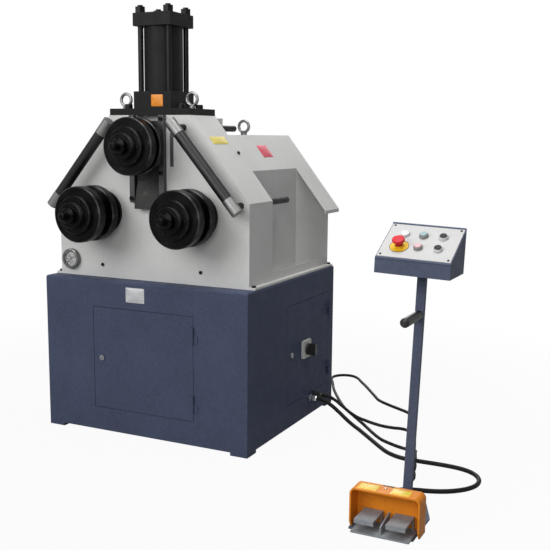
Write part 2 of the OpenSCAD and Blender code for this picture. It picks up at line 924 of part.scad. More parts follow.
// The clamp ring with its screws, the collar and the notched nut ahead of a roll
module roll_lock() {
  chamfer = roll_chamfer / 2;
  translate([0, -clamp_t, 0]) {
    turned_y(ring_points(roll_bore_r, clamp_d / 2, clamp_t - run_gap, chamfer));
    for (i = [0 : clamp_screw_count - 1])
      rotate([0, i * 360 / clamp_screw_count, 0])
        translate([clamp_screw_circle, 0, 0])
          round_y(clamp_screw_r, -clamp_screw_h, clamp_screw_h);
  }
  translate([0, -clamp_t - collar_t, 0])
    turned_y(ring_points(roll_bore_r, collar_d / 2, collar_t - run_gap, chamfer));
  translate([0, -clamp_t - collar_t - nut_t, 0])
    difference() {
      turned_y(ring_points(thread_r + run_gap, nut_d / 2, nut_t - run_gap, chamfer));
      for (i = [0 : nut_notch_count - 1])
        rotate([0, i * 360 / nut_notch_count, 0])
          translate([nut_d / 2 - nut_notch_depth, -over, -nut_notch_w / 2])
            cube([nut_d, nut_t + 2 * over, nut_notch_w]);
    }
}

// A tube of rings along a route, closed by flat ends that face the glands
module cable(route, r, first, last) {
  rings = len(route);
  ring_corners = [for (i = [0 : rings - 1])
    let (along = ring_direction(route, i, first, last),
      across = unit(cross(along, [0, 0, 1])),
      up = cross(across, along))
    for (k = [0 : cable_sides - 1])
      let (turn = (k + 0.5) * 360 / cable_sides)
      route[i] + r * (cos(turn) * across + sin(turn) * up)];
  walls = [for (i = [0 : rings - 2], k = [0 : cable_sides - 1])
    let (a = i * cable_sides,
      b = a + cable_sides,
      next = (k + 1) % cable_sides)
    each [[a + k, a + next, b + k], [a + next, b + next, b + k]]];
  start = [[for (k = [cable_sides - 1 : -1 : 0]) k]];
  finish = [[for (k = [0 : cable_sides - 1]) (rings - 1) * cable_sides + k]];
  polyhedron(ring_corners, concat(walls, start, finish), convexity = 10);
}

// Base cabinet: a folded shell with a thick deck, two door openings and corner feet
module base_cabinet() color(base_blue) {
  difference() {
    union() {
      difference() {
        intersection() {
          along_y(front_y, base_d)
            folded_outline(base_w);
          along_x(-side_x, base_w)
            folded_outline(base_d);
        }
        translate([base_sheet - side_x, front_y + base_sheet, cabinet_floor_z])
          cube([base_w - 2 * base_sheet, base_d - 2 * base_sheet,
            base_h - deck_t - cabinet_floor_z]);
      }
      for (x = [-side_x, side_x - foot_l], y = [front_y, back_y - foot_l])
        translate([x, y, 0])
          cube([foot_l, foot_l, foot_h]);
      front_door_place()
        cabinet_knuckles();
      side_door_place()
        cabinet_knuckles();
    }
    front_door_place()
      door_opening(front_door_w);
    side_door_place()
      door_opening(side_door_w);
    for (x = [-1, 1], y = [-1, 1])
      translate([x * (side_x - foot_l / 2), y * (back_y - foot_l / 2), 0])
        round_z(anchor_r, cabinet_floor_z, over);
    flange_screw_places()
      screw_hole(flange_screw);
  }
}

// Section of the cabinet above its feet, with rounded upper corners
module folded_outline(width) {
  translate([-width / 2, foot_h])
    square([width, base_h - fold_r - foot_h]);
  translate([fold_r - width / 2, base_h - 2 * fold_r])
    square([width - 2 * fold_r, 2 * fold_r]);
  for (side = [-1, 1])
    translate([side * (width / 2 - fold_r), base_h - fold_r])
      circle(r = fold_r, $fn = turn_fn);
}

module cabinet_knuckles() {
  for (mid = hinge_mid)
    hinge_knuckle(1, mid - hinge_l / 2, hinge_l / 2);
}

module door_opening(width) {
  edge = door_gap / 2;
  translate([-width - edge - door_gap, hinge_offset - over, door_z - door_gap])
    cube([width + 2 * door_gap, base_sheet + 2 * over, door_h + 2 * door_gap]);
}

module hinge_pins() color(steel_grey) {
  front_door_place()
    door_pins();
  side_door_place()
    door_pins();
}

module door_pins() {
  for (mid = hinge_mid)
    translate([0, 0, mid - hinge_l / 2])
      round_z(hinge_pin_r, hinge_l);
}

module front_door() color(base_blue) {
  front_door_place()
    door_panel(front_door_w);
}

module front_lock() color(steel_grey) {
  front_door_place()
    cam_lock(front_door_w);
}

module side_door() color(base_blue) {
  side_door_place()
    difference() {
      door_panel(side_door_w);
      translate([-switch_reach, hinge_offset, door_mid_z])
        round_y(switch_neck_r + run_gap, 0, door_sheet, over);
    }
}

module side_lock() color(steel_grey) {
  side_door_place()
    cam_lock(side_door_w);
}

// Main switch: a plate on the side door, with the switch's body behind it
module switch_plate() color(pedal_grey) {
  side_door_place()
    translate([-switch_reach, hinge_offset, door_mid_z])
      difference() {
        union() {
          translate([-switch_w / 2, -switch_plate_t, -switch_w / 2])
            cube([switch_w, switch_plate_t, switch_w]);
          round_y(switch_neck_r, -switch_plate_t / 2, switch_plate_t / 2 + 2 * door_sheet);
          translate([-switch_body_w / 2, door_sheet, -switch_body_w / 2])
            cube([switch_body_w, switch_body_l, switch_body_w]);
        }
        round_y(switch_shaft_r + run_gap, -switch_plate_t, switch_shaft_l, over);
      }
}

module switch_knob() color(roll_black) {
  side_door_place()
    translate([-switch_reach, hinge_offset - switch_plate_t - slip_gap, door_mid_z]) {
      turned_y([[0, -knob_base_t], [knob_r, -knob_base_t], [knob_r, 0], [switch_shaft_r, 0],
        [switch_shaft_r, switch_shaft_l], [0, switch_shaft_l]]);
      translate([-knob_bar_w / 2, -knob_base_t - knob_bar_l, -knob_r])
        cube([knob_bar_w, knob_bar_l, 2 * knob_r]);
    }
}

// Front frame: a welded box with the slide's slot, the bearing bores and the stud bores
module front_frame() color(body_grey) {
  difference() {
    union() {
      along_y(frame_y, frame_d)
        polygon(house_points(0));
      both_sides() {
        translate([body_hw, frame_y, base_h])
          cube([flange_w, frame_d, flange_t]);
        translate([guide_top_x - bush_w / 2, frame_back_y, bush_z])
          cube([bush_w, bush_l, frame_top_z - bush_top_gap - bush_z]);
      }
    }
    along_y(frame_y + front_plate_t, frame_d - front_plate_t - back_plate_t)
      polygon(house_points(frame_wall));
    translate([-slot_w / 2, frame_y - over, slot_z])
      cube([slot_w, front_plate_t + 2 * over, frame_h]);
    translate([0, cylinder_y, frame_top_z - frame_wall])
      round_z(rod_r + slip_gap, frame_wall, over);
    both_sides() {
      translate([lower_axis_x, 0, lower_axis_z]) {
        round_y(bearing_sleeve_r + run_gap, frame_y, front_plate_t, over);
        round_y(back_sleeve_r + run_gap, frame_back_y - back_plate_t, back_plate_t, over);
      }
      translate([guide_top_x, 0, base_h + guide_top_h])
        round_y(stud_r + run_gap, frame_y, frame_d + bush_l, over);
      translate([guide_low_x, 0, base_h + guide_low_h])
        round_y(stud_r + run_gap, frame_y, frame_d, over);
      translate([front_eye_x, front_eye_y, plate_top_z])
        rotate([180, 0, 0])
          round_z(eye_shank_r + run_gap, plate_t + frame_wall, over);
    }
    gib_screw_places()
      screw_hole(gib_screw);
    face_screw_places()
      screw_hole(face_screw);
    slope_screw_places()
      screw_hole(face_screw);
    plate_screw_places()
      screw_hole(plate_screw);
    flange_screw_places()
      screw_hole(flange_screw);
  }
}

module slide_gibs() color(steel_grey) {
  difference() {
    both_sides()
      translate([slot_w / 2, frame_y - gib_t, gib_z])
        cube([gib_w, gib_t, gib_l]);
    gib_screw_places()
      screw_hole(gib_screw);
  }
}

module frame_bolts() color(roll_black) {
  gib_screw_places()
    socket_screw(gib_screw);
  face_screw_places()
    socket_screw(face_screw);
  slope_screw_places()
    socket_screw(face_screw);
  plate_screw_places()
    socket_screw(plate_screw);
  flange_screw_places()
    socket_screw(flange_screw);
  panel_screw_places()
    socket_screw(panel_screw);
}

module panel_screw_places() {
  on_panel()
    for (x = [panel_screw_inset, panel_w - panel_screw_inset],
      y = [panel_screw_inset, panel_l - panel_screw_inset])
      translate([x, y, panel_t])
        rotate([180, 0, 0])
          children();
}

// Hood: folded sheet with a recess on each side and a roof strip that overhangs behind it
module hood() color(body_grey) {
  difference() {
    union() {
      difference() {
        hood_body(0, hood_y, base_h);
        hood_body(hood_sheet, hood_y - over, base_h - over);
      }
      both_sides() {
        along_y(strip_y, strip_d)
          polygon([[recess_x, roof_z(recess_x)], [eave_x, roof_z(eave_x)],
            [eave_x, roof_z(eave_x) - eave_lip], [eave_x - hood_sheet, roof_z(eave_x) - eave_lip],
            [eave_x - hood_sheet, roof_z(eave_x - hood_sheet) - hood_sheet * roof_stretch],
            [recess_x, roof_z(recess_x) - hood_sheet * roof_stretch]]);
        translate([body_hw - hood_sheet, hood_y, base_h])
          cube([hood_sheet, hood_d, sill_h]);
        translate([body_hw, hood_y, base_h])
          cube([flange_w, hood_d, flange_t]);
        translate([0, 0, base_h])
          linear_extrude(hood_sheet)
            polygon([[recess_x - hood_sheet, hood_y], [body_hw, hood_y],
              [body_hw, hood_back_y], [recess_x - hood_sheet, strip_y]]);
      }
      translate([-hood_top_hw + rib_w, back_eye_y - rib_w / 2, hood_top_z - hood_sheet - rib_t])
        cube([2 * hood_top_hw - 2 * rib_w, rib_w, rib_t]);
    }
    for (i = [0 : louvre_count - 1])
      translate([-louvre_w / 2, hood_back_y - hood_sheet - over, louvre_z + i * louvre_step])
        cube([louvre_w, hood_sheet + 2 * over, louvre_h]);
    both_sides()
      translate([back_eye_x, back_eye_y, hood_top_z])
        rotate([180, 0, 0])
          round_z(eye_shank_r + run_gap, eye_shank_l + run_gap, 0);
    flange_screw_places()
      screw_hole(flange_screw);
  }
}

// The space under the hood's roof and inside its walls, drawn in by an inset
module hood_body(inset, front, foot) {
  intersection() {
    translate([0, 0, foot])
      linear_extrude(hood_h + frame_h)
        polygon(hood_plan(inset, front));
    along_y(front, hood_back_y - front)
      polygon(hood_points(inset, foot));
  }
}

module cylinder_plate() color(roll_black) {
  difference() {
    translate([-plate_w / 2, frame_y, frame_top_z])
      cube([plate_w, plate_d, plate_t]);
    translate([0, cylinder_y, frame_top_z])
      round_z(rod_r + slip_gap, plate_t, over);
    plate_screw_places()
      screw_hole(plate_screw);
    both_sides()
      translate([front_eye_x, front_eye_y, frame_top_z])
        round_z(eye_shank_r + run_gap, plate_t, over);
  }
}

// Lifting eyes: a ring on a collar with a threaded shank
module eye_bolts() color(bright_metal) {
  ring_r = (eye_d - eye_t) / 2;
  eye_places() {
    round_z(eye_collar_r, eye_collar_h);
    translate([0, 0, -eye_shank_l])
      round_z(eye_shank_r, eye_shank_l + eye_collar_h / 2);
    translate([0, 0, eye_collar_h + eye_d / 2 - eye_sink])
      rotate([90, 0, 0])
        rotate_extrude($fn = turn_fn)
          translate([ring_r, 0])
            circle(r = eye_t / 2, $fn = turn_fn);
  }
}

// Cylinder head and cap: square blocks bored for the tie rods
module cylinder_flanges() color(roll_black) {
  difference() {
    union() {
      translate([-cylinder_w / 2, cylinder_y - cylinder_w / 2, plate_top_z])
        cube([cylinder_w, cylinder_w, head_h]);
      translate([-cylinder_w / 2, cylinder_y - cylinder_w / 2, tube_top_z])
        cube([cylinder_w, cylinder_w, cap_h]);
      translate([0, cylinder_y, cap_top_z])
        round_z(port_r, port_h);
    }
    translate([0, cylinder_y, plate_top_z])
      round_z(rod_r + run_gap, head_h, over);
    tie_places()
      round_z(tie_d / 2 + run_gap, cap_top_z - plate_top_z, over);
  }
}

module tie_places() {
  for (x = [-1, 1], y = [-1, 1])
    translate([x * tie_pitch / 2, cylinder_y + y * tie_pitch / 2, plate_top_z])
      children();
}

module cylinder_tube() color(roll_black) {
  translate([0, cylinder_y, head_top_z])
    difference() {
      round_z(tube_r, tube_l);
      round_z(bore_r, tube_l, over);
    }
}

module tie_rods() color(roll_black) {
  nut_base = cap_top_z - plate_top_z;
  tie_places() {
    round_z(tie_d / 2, nut_base + tie_nut_h + tie_stub_l);
    translate([0, 0, nut_base])
      cylinder(r = tie_nut_w / 2 / cos(30), h = tie_nut_h, $fn = 6);
  }
}

// Piston and rod, standing on the slide
module piston_rod() color(bright_metal) {
  piston_z = tube_top_z - piston_gap - piston_t;
  translate([0, cylinder_y, slide_top_z]) {
    round_z(rod_r, piston_z - slide_top_z);
    translate([0, 0, piston_z - slide_top_z])
      round_z(bore_r - run_gap, piston_t);
  }
}

// Slide: a block in the slot, held by shoulders behind the front plate, with its apron
module slide_block() color(steel_grey) {
  face_y = frame_y - slide_proud;
  shoulder_y = frame_y + front_plate_t + slip_gap;
  lap_z = slide_z + apron_lap;
  bend_z = slide_z - apron_straight;
  foot_z = bend_z - apron_drop;
  difference() {
    union() {
      translate([-slide_w / 2, face_y, slide_z])
        cube([slide_w, shoulder_y - face_y, slide_h]);
      translate([-slide_w / 2 - shoulder_w, shoulder_y, slide_z])
        cube([slide_w + 2 * shoulder_w, slide_back_y - shoulder_y, slide_h]);
      along_x(-apron_w / 2, apron_w)
        polygon([[face_y + apron_sink, lap_z], [face_y - apron_t, lap_z],
          [face_y - apron_t, bend_z], [face_y - apron_t - apron_flare, foot_z],
          [face_y - apron_flare, foot_z], [face_y, bend_z], [face_y, slide_z],
          [face_y + apron_sink, slide_z]]);
    }
    translate([0, 0, upper_axis_z])
      round_y(shaft_r + run_gap, face_y, slide_back_y - face_y, over);
  }
}

module upper_bearing() color(roll_black) {
  start_y = upper_face_y + upper_roll_w + bearing_gap;
  translate([0, start_y, upper_axis_z])
    turned_y(ring_points(shaft_r + run_gap, upper_bearing_r,
      frame_y - slide_proud - start_y, roll_chamfer));
}

// Bearings of the lower shafts: a flanged housing in front and a sleeve behind
module lower_bearings() color(roll_black) {
  start_y = lower_face_y + lower_roll_w + bearing_gap;
  both_sides()
    translate([lower_axis_x, 0, lower_axis_z]) {
      turned_y([[shaft_r + run_gap, start_y], [bearing_hub_r, start_y],
        [bearing_hub_r, frame_y - bearing_flange_t],
        [bearing_flange_r, frame_y - bearing_flange_t], [bearing_flange_r, frame_y],
        [bearing_sleeve_r, frame_y], [bearing_sleeve_r, frame_y + front_plate_t],
        [shaft_r + run_gap, frame_y + front_plate_t]]);
      turned_y([[shaft_r + run_gap, frame_back_y - back_plate_t],
        [back_sleeve_r, frame_back_y - back_plate_t], [back_sleeve_r, frame_back_y],
        [shaft_r + run_gap, frame_back_y]]);
    }
}

// Hydraulic motors behind the frame, one on each lower shaft
module drive_motors() color(pedal_grey) {
  both_sides()
    translate([lower_axis_x, frame_back_y, lower_axis_z])
      difference() {
        union() {
          translate([-motor_flange_w / 2, 0, -motor_flange_w / 2])
            cube([motor_flange_w, motor_flange_t, motor_flange_w]);
          turned_y([[0, motor_flange_t], [motor_body_r, motor_flange_t],
            [motor_body_r, motor_body_l / 2], [motor_rib_r, motor_body_l / 2],
            [motor_rib_r, motor_body_l], [0, motor_body_l]]);
          translate([-motor_port_w / 2, motor_body_l / 2, 0])
            cube([motor_port_w, motor_port_w, motor_body_r + motor_port_h]);
        }
        round_y(motor_stub_r + run_gap, 0, motor_stub_l + slip_gap, over);
      }
}

module upper_shaft() color(steel_grey) {
  seat_l = slide_back_y - upper_face_y;
  translate([0, upper_face_y, upper_axis_z])
    turned_y(shaft_points(seat_l - stud_chamfer, shaft_r - stud_chamfer, stud_chamfer));
}

module upper_roll() color(roll_black) {
  translate([0, upper_face_y, upper_axis_z])
    roll_discs(upper_front_t, upper_groove_w, upper_back_t);
}

module upper_lock() color(roll_black) {
  translate([0, upper_face_y, upper_axis_z])
    roll_lock();
}

// Frame of a lower roll, on the side that a sign gives
module lower_place(side) {
  translate([side * lower_axis_x, lower_face_y, lower_axis_z])
    children();
}

module lower_shaft() {
  turned_y(shaft_points(frame_back_y - lower_face_y, motor_stub_r, motor_stub_l));
}

module lower_left_shaft() color(steel_grey) {
  lower_place(-1)
    lower_shaft();
}

module lower_left_roll() color(roll_black) {
  lower_place(-1)
    roll_discs(lower_front_t, lower_groove_w, lower_back_t);
}

module lower_left_lock() color(roll_black) {
  lower_place(-1)
    roll_lock();
}

module lower_right_shaft() color(steel_grey) {
  lower_place(1)
    lower_shaft();
}

module lower_right_roll() color(roll_black) {
  lower_place(1)
    roll_discs(lower_front_t, lower_groove_w, lower_back_t);
}

module lower_right_lock() color(roll_black) {
  lower_place(1)
    roll_lock();
}

// Frame of the right guide bar: +Z runs up the bar from its lower stud
module on_guide() {
  translate([guide_low_x, guide_y, base_h + guide_low_h])
    rotate([0, -guide_lean, 0])
      children();
}

// Guide carrier: two studs through the frame, joined by a bar with end collars
module guide_carrier() {
  half = guide_collar_l / 2;
  on_guide() {
    for (z = [0, guide_span])
      translate([0, 0, z - half])
        round_z(guide_d / 2, guide_collar_l);
    round_z(guide_core_r, guide_span);
  }
  for (at = [[guide_top_x, guide_top_h], [guide_low_x, guide_low_h]])
    translate([at[0], guide_y, base_h + at[1]])
      turned_y([[0, 0], [stud_r, 0], [stud_r, stud_l - stud_chamfer],
        [stud_r - stud_chamfer, stud_l], [0, stud_l]]);
}

module guide_roller() {
  half = guide_collar_l / 2 + slip_gap;
  on_guide()
    translate([0, 0, half])
      difference() {
        round_z(guide_roller_d / 2, guide_span - 2 * half);
        round_z(guide_core_r + run_gap, guide_span - 2 * half, over);
      }
}

module right_guide_carrier() color(bright_metal) {
  guide_carrier();
}

module left_guide_carrier() color(bright_metal) {
  mirror([1, 0, 0])
    guide_carrier();
}

module right_guide_roller() color(roll_black) {
  guide_roller();
}

module left_guide_roller() color(roll_black) {
  mirror([1, 0, 0])
    guide_roller();
}

// Pressure gauge: a round case with a sunk dial and a post for the needle
module gauge_case() color(bright_metal) {
  translate([gauge_x, frame_y, base_h + gauge_h]) {
    turned_y([[0, 0], [gauge_r, 0], [gauge_r, -gauge_depth], [gauge_r - gauge_rim, -gauge_depth],
      [gauge_r - gauge_rim, -dial_depth], [0, -dial_depth]]);
    round_y(needle_post_r, -dial_depth - 2 * needle_t, 2 * needle_t + over);
  }
}

module gauge_needle() color(roll_black) {
  translate([gauge_x, frame_y - dial_depth - slip_gap - needle_t, base_h + gauge_h])
    rotate([0, needle_rest, 0])
      difference() {
        union() {
          round_y(needle_hub_r, 0, needle_t);
          translate([-needle_w / 2, 0, -needle_tail])
            cube([needle_w, needle_t, needle_l + needle_tail]);
        }
        round_y(needle_post_r + run_gap, 0, needle_t, over);
      }
}

// Oil tank: a closed steel box on the cabinet's floor
module oil_tank() color(pedal_grey) {
  translate([base_sheet + tank_side_gap - side_x, front_y + tank_front_gap, cabinet_floor_z])
    difference() {
      cube([tank_w, tank_d, tank_h]);
      translate([tank_wall, tank_wall, tank_wall])
        cube([tank_w - 2 * tank_wall, tank_d - 2 * tank_wall, tank_h - 2 * tank_wall]);
    }
}

// Pump motor: a finned motor standing on the tank's lid, with its terminal box
module pump_motor() color(base_blue) {
  translate([base_sheet + tank_side_gap - side_x + tank_w / 2,
    front_y + tank_front_gap + tank_d / 2, cabinet_floor_z + tank_h]) {
    round_z(motor_foot_r, motor_foot_t);
    round_z(motor_r, motor_foot_t + motor_h);
    for (i = [1 : motor_fin_count])
      translate([0, 0, motor_foot_t + i * motor_fin_step])
        round_z(motor_fin_r, motor_fin_t);
    translate([0, -motor_box_w / 2, motor_foot_t + motor_fin_step])
      cube([motor_r + motor_box_d, motor_box_w, motor_box_h]);
  }
}

// Electrical plate on the cabinet's back wall, with two rails of modules
module electrical_plate() color(panel_white) {
  wall_y = back_y - base_sheet;
  plate_y = wall_y - wiring_stand - wiring_t;
  translate([wiring_x, plate_y, wiring_z])
    cube([wiring_w, wiring_t, wiring_h]);
  for (x = [wiring_x, wiring_x + wiring_w - wiring_stand],
    z = [wiring_z, wiring_z + wiring_h - wiring_stand])
    translate([x, plate_y, z])
      cube([wiring_stand, wiring_t + wiring_stand, wiring_stand]);
  for (share = rail_shares)
    translate([wiring_x, plate_y, wiring_z + share * wiring_h]) {
      translate([0, -rail_t, 0])
        cube([wiring_w, rail_t, rail_h]);
      for (i = [0 : module_count - 1])
        translate([i * wiring_w / module_count + rail_t, -module_d, (rail_h - module_h) / 2])
          cube([module_w, module_d, module_h]);
    }
}

// Glands on the cabinet's side and behind the foot switch, and grommets on the post
module cable_glands() color(roll_black) {
  for (y = [pedal_gland_y, control_gland_y])
    translate([side_x, y, gland_z])
      rotate([0, 90, 0])
        gland();
  translate([pedal_gland_x, guard_back_y, pedal_gland_z])
    rotate([-90, 0, 0])
      gland();
  for (z = grommet_heights)
    translate([grommet_x(z), post_y + post_d / 2, z])
      round_y(grommet_r, 0, grommet_l);
}

module gland() {
  cylinder(r = gland_nut_r, h = gland_nut_l, $fn = 6);
  round_z(gland_r, gland_nut_l + gland_l);
}

// Control stand: a foot plate that tapers to the back, with a leaning square post
module control_stand() color(base_blue) {
  translate([stand_x, stand_y, 0])
    linear_extrude(stand_t)
      polygon([[0, 0], [stand_w, 0], [stand_w, stand_straight],
        [(stand_w + stand_tail) / 2, stand_l], [(stand_w - stand_tail) / 2, stand_l],
        [0, stand_straight]]);
  on_stand()
    difference() {
      translate([-post_w / 2, -post_d / 2, post_sink])
        cube([post_w, post_d, post_l - post_sink]);
      translate([post_wall - post_w / 2, post_wall - post_d / 2, stand_t + over])
        cube([post_w - 2 * post_wall, post_d - 2 * post_wall, post_l]);
    }
}

// Hand grip: a rounded bar on a stem, ahead of the post
module post_grip() color(roll_black) {
  end_y = -grip_l - grip_stem_l;
  r = grip_d / 2;
  on_stand()
    translate([0, -post_d / 2, grip_z])
      turned_y([[0, end_y], [r - grip_round, end_y], [r, end_y + grip_round],
        [r, -grip_stem_l], [grip_stem_r, -grip_stem_l], [grip_stem_r, 0], [0, 0]]);
}

// Console: a closed wedge of sheet, with the button holes in its sloping top
module console_box() color(base_blue) {
  s = console_sheet;
  rise = (console_back_h - console_front_h) / console_d;
  drop = s / cos(panel_tilt);
  difference() {
    on_console()
      along_x(-console_w / 2, console_w)
        polygon([[0, 0], [console_d, 0], [console_d, console_back_h], [0, console_front_h]]);
    on_console()
      along_x(s - console_w / 2, console_w - 2 * s)
        polygon([[s, s], [console_d - s, s], [console_d - s, console_back_h - drop - s * rise],
          [s, console_front_h - drop + s * rise]]);
    button_places()
      round_z(button_hole_r, 2 * (panel_t + console_sheet), 0);
    panel_screw_places()
      screw_hole(panel_screw);
  }
}

// Places of the six holes through the panel, with +Z pointing down into the console
module button_places() {
  for (column = [0 : len(column_shares) - 1], row = [0 : len(row_shares) - 1])
    at_button(column, row)
      rotate([180, 0, 0])
        translate([0, 0, -over])
          children();
}

module console_panel() color(panel_white) {
  difference() {
    on_panel()
      cube([panel_w, panel_l, panel_t]);
    button_places()
      round_z(button_hole_r, 2 * (panel_t + console_sheet), 0);
    panel_screw_places()
      screw_hole(panel_screw);
  }
}

module button_bezels() color(bright_metal) {
  for (column = [1, 2], row = [0, 1])
    at_button(column, row)
      turned_z(ring_points(button_r, bezel_d / 2, bezel_h, bezel_chamfer));
}

// A push button in its bezel: cap, stem and the end inside the console
module push_button(column, row) {
  r = button_r - run_gap;
  at_button(column, row)
    turned_z([[0, -button_stem_l], [r, -button_stem_l], [r, bezel_h + button_rise - bezel_chamfer],
      [r - bezel_chamfer, bezel_h + button_rise], [0, bezel_h + button_rise]]);
}

module pilot_lamp() color(panel_white) {
  at_button(0, 1)
    turned_z([[0, -button_stem_l], [button_r - run_gap, -button_stem_l],
      [button_r - run_gap, 0], [lamp_r, 0], [lamp_r, lamp_h / 2], [lamp_r / 2, lamp_h],
      [0, lamp_h]]);
}

module estop_plate() color("gold") {
  at_button(0, 0)
    turned_z(ring_points(button_r, estop_plate_r, estop_plate_t, bezel_chamfer / 2));
}

module estop_button() color("crimson") {
  r = button_r - run_gap;
  head_z = estop_plate_t + estop_neck_l;
  top_z = head_z + estop_head_h;
  at_button(0, 0)
    turned_z([[0, -button_stem_l], [r, -button_stem_l], [r, head_z],
      [estop_d / 2 - estop_taper, head_z], [estop_d / 2, top_z - estop_taper],
      [estop_d / 2 - estop_taper, top_z], [0, top_z]]);
}

module start_button() color("mediumaquamarine") {
  push_button(1, 1);
}

module stop_button() color("lightpink") {
  push_button(1, 0);
}

module raise_button() color(roll_black) {
  push_button(2, 1);
}

module lower_button() color(roll_black) {
  push_button(2, 0);
}

// Foot switch base: a tread plate with a divider, and ears with pins for the pedals
module pedal_base() color(pedal_grey) {
  back_y = guard_back_y - guard_t - slip_gap;
  fin_y = back_y - fin_back;
  translate([guard_x - tread_w / 2, back_y - tread_l, stand_t])
    cube([tread_w, tread_l, tread_t]);
  along_x(guard_x - fin_t / 2, fin_t)
    polygon([[fin_y, stand_t], [fin_y, stand_t + fin_h],
      [fin_y - fin_l, stand_t + fin_front_h], [fin_y - fin_l, stand_t]]);
  for (side = [-1, 1], ear = [-1, 1])
    pedal_place(side)
      translate([ear * (pedal_w / 2 - pedal_ear_t / 2) - pedal_ear_t / 2, 0, 0]) {
        translate([0, -pedal_barrel_r, -pedal_hinge_h])
          cube([pedal_ear_t, 2 * pedal_barrel_r, pedal_hinge_h]);
        rotate([0, 90, 0])
          round_z(pedal_barrel_r, pedal_ear_t);
      }
  for (side = [-1, 1])
    pedal_place(side)
      translate([-pedal_w / 2, 0, 0])
        rotate([0, 90, 0])
          round_z(pedal_pin_r, pedal_w);
}

// Frame of a pedal's hinge axis, on the side that a sign gives
module pedal_place(side) {
  translate([guard_x + side * pedal_pitch / 2, pedal_hinge_y, stand_t + pedal_hinge_h])
    children();
}

// A pedal: a barrel on its pin, and a plate with a turned-down front lip
module pedal(side) {
  barrel_w = pedal_w - 2 * pedal_ear_t - 2 * slip_gap;
  top = pedal_barrel_r + pedal_t;
  pedal_place(side)
    difference() {
      union() {
        translate([-barrel_w / 2, 0, 0])
          rotate([0, 90, 0])
            round_z(pedal_barrel_r, barrel_w);
        translate([-barrel_w / 2, -pedal_barrel_r, 0])
          cube([barrel_w, 2 * pedal_barrel_r, pedal_barrel_r + slip_gap]);
        translate([-pedal_w / 2, pedal_barrel_r - pedal_l, pedal_barrel_r + slip_gap])
          cube([pedal_w, pedal_l, pedal_t]);
        translate([-pedal_w / 2, pedal_barrel_r - pedal_l, top - pedal_t - pedal_lip])
          cube([pedal_w, pedal_t / 2, pedal_lip + pedal_t / 2]);
      }
      translate([-barrel_w / 2, 0, 0])
        rotate([0, 90, 0])
          round_z(pedal_pin_r + run_gap, barrel_w, over);
    }
}

module left_pedal() color(pedal_grey) {
  pedal(-1);
}

module right_pedal() color(pedal_grey) {
  pedal(1);
}

// Guard: a rounded hood over the pedals, open in front, with cut-off toes
module pedal_guard() color(guard_orange) {
  difference() {
    along_y(guard_y, guard_d)
      guard_outline(0);
    along_y(guard_y - over, guard_d - guard_t + over)
      guard_outline(guard_t);
    translate([0, guard_y, stand_t])
      along_x(guard_x - guard_w / 2 - over, guard_w + 2 * over)
        polygon([[-over, -over], [guard_toe, -over], [guard_toe, 0], [0, 2 * guard_toe],
          [-over, 2 * guard_toe]]);
  }
}

// Section of the guard above the foot plate, drawn in by an inset
module guard_outline(inset) {
  w = guard_w - 2 * inset;
  foot = stand_t - (inset > 0 ? over : 0);
  top = stand_t + guard_h - inset;
  r = guard_r - inset;
  translate([guard_x - w / 2, foot])
    square([w, top - r - foot]);
  translate([guard_x + r - w / 2, top - 2 * r])
    square([w - 2 * r, 2 * r]);
  for (side = [-1, 1])
    translate([guard_x + side * (w / 2 - r), top - r])
      circle(r = r, $fn = turn_fn);
}

module pedal_cable() color(roll_black) {
  cable(pedal_route, pedal_cable_d / 2, [1, 0, 0], [0, -1, 0]);
}

module control_cable() color(roll_black) {
  cable(control_route, control_cable_d / 2, [1, 0, 0], [0, -1, 0]);
}

module loop_cable() color(roll_black) {
  cable(loop_route, control_cable_d / 2, [0, 1, 0], [0, -1, 0]);
}

base_cabinet();
hinge_pins();
front_frame();
slide_gibs();
frame_bolts();
hood();
cylinder_plate();
eye_bolts();
cylinder_flanges();
cylinder_tube();
tie_rods();
lower_bearings();
drive_motors();
gauge_case();
oil_tank();
pump_motor();
electrical_plate();
cable_glands();
control_stand();
post_grip();
console_box();
console_panel();
button_bezels();
pilot_lamp();
estop_plate();
pedal_base();
pedal_guard();
pedal_cable();
control_cable();
loop_cable();
front_door();
front_lock();
side_door();
side_lock();
switch_plate();
switch_knob();
slide_block();
piston_rod();
upper_bearing();
upper_shaft();
upper_roll();
upper_lock();
lower_left_shaft();
lower_left_roll();
lower_left_lock();
lower_right_shaft();
lower_right_roll();
lower_right_lock();
left_guide_carrier();
left_guide_roller();
right_guide_carrier();
right_guide_roller();
gauge_needle();
estop_button();
start_button();
stop_button();
raise_button();
lower_button();
left_pedal();
right_pedal();
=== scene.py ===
"""Looks of the angle roll bender: cabinet, rolls, control stand, foot switch and floor cables."""
import math

import bmesh
import bpy
import numpy as np
from mathutils import Matrix


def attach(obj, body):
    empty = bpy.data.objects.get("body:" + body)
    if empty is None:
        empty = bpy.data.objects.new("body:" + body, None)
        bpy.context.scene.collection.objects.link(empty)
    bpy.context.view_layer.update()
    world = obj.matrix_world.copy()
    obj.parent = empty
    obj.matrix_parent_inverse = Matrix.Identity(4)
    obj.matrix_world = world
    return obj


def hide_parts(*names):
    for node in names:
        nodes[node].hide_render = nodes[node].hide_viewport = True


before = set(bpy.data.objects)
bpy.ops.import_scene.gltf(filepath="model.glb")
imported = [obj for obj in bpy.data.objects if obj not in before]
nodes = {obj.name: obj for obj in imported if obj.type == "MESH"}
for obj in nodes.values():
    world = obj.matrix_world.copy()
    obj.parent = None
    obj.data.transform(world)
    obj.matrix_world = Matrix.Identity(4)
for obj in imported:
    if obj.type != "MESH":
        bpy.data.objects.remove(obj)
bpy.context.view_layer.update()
stage = bpy.context.scene
stage.view_settings.view_transform = "Standard"

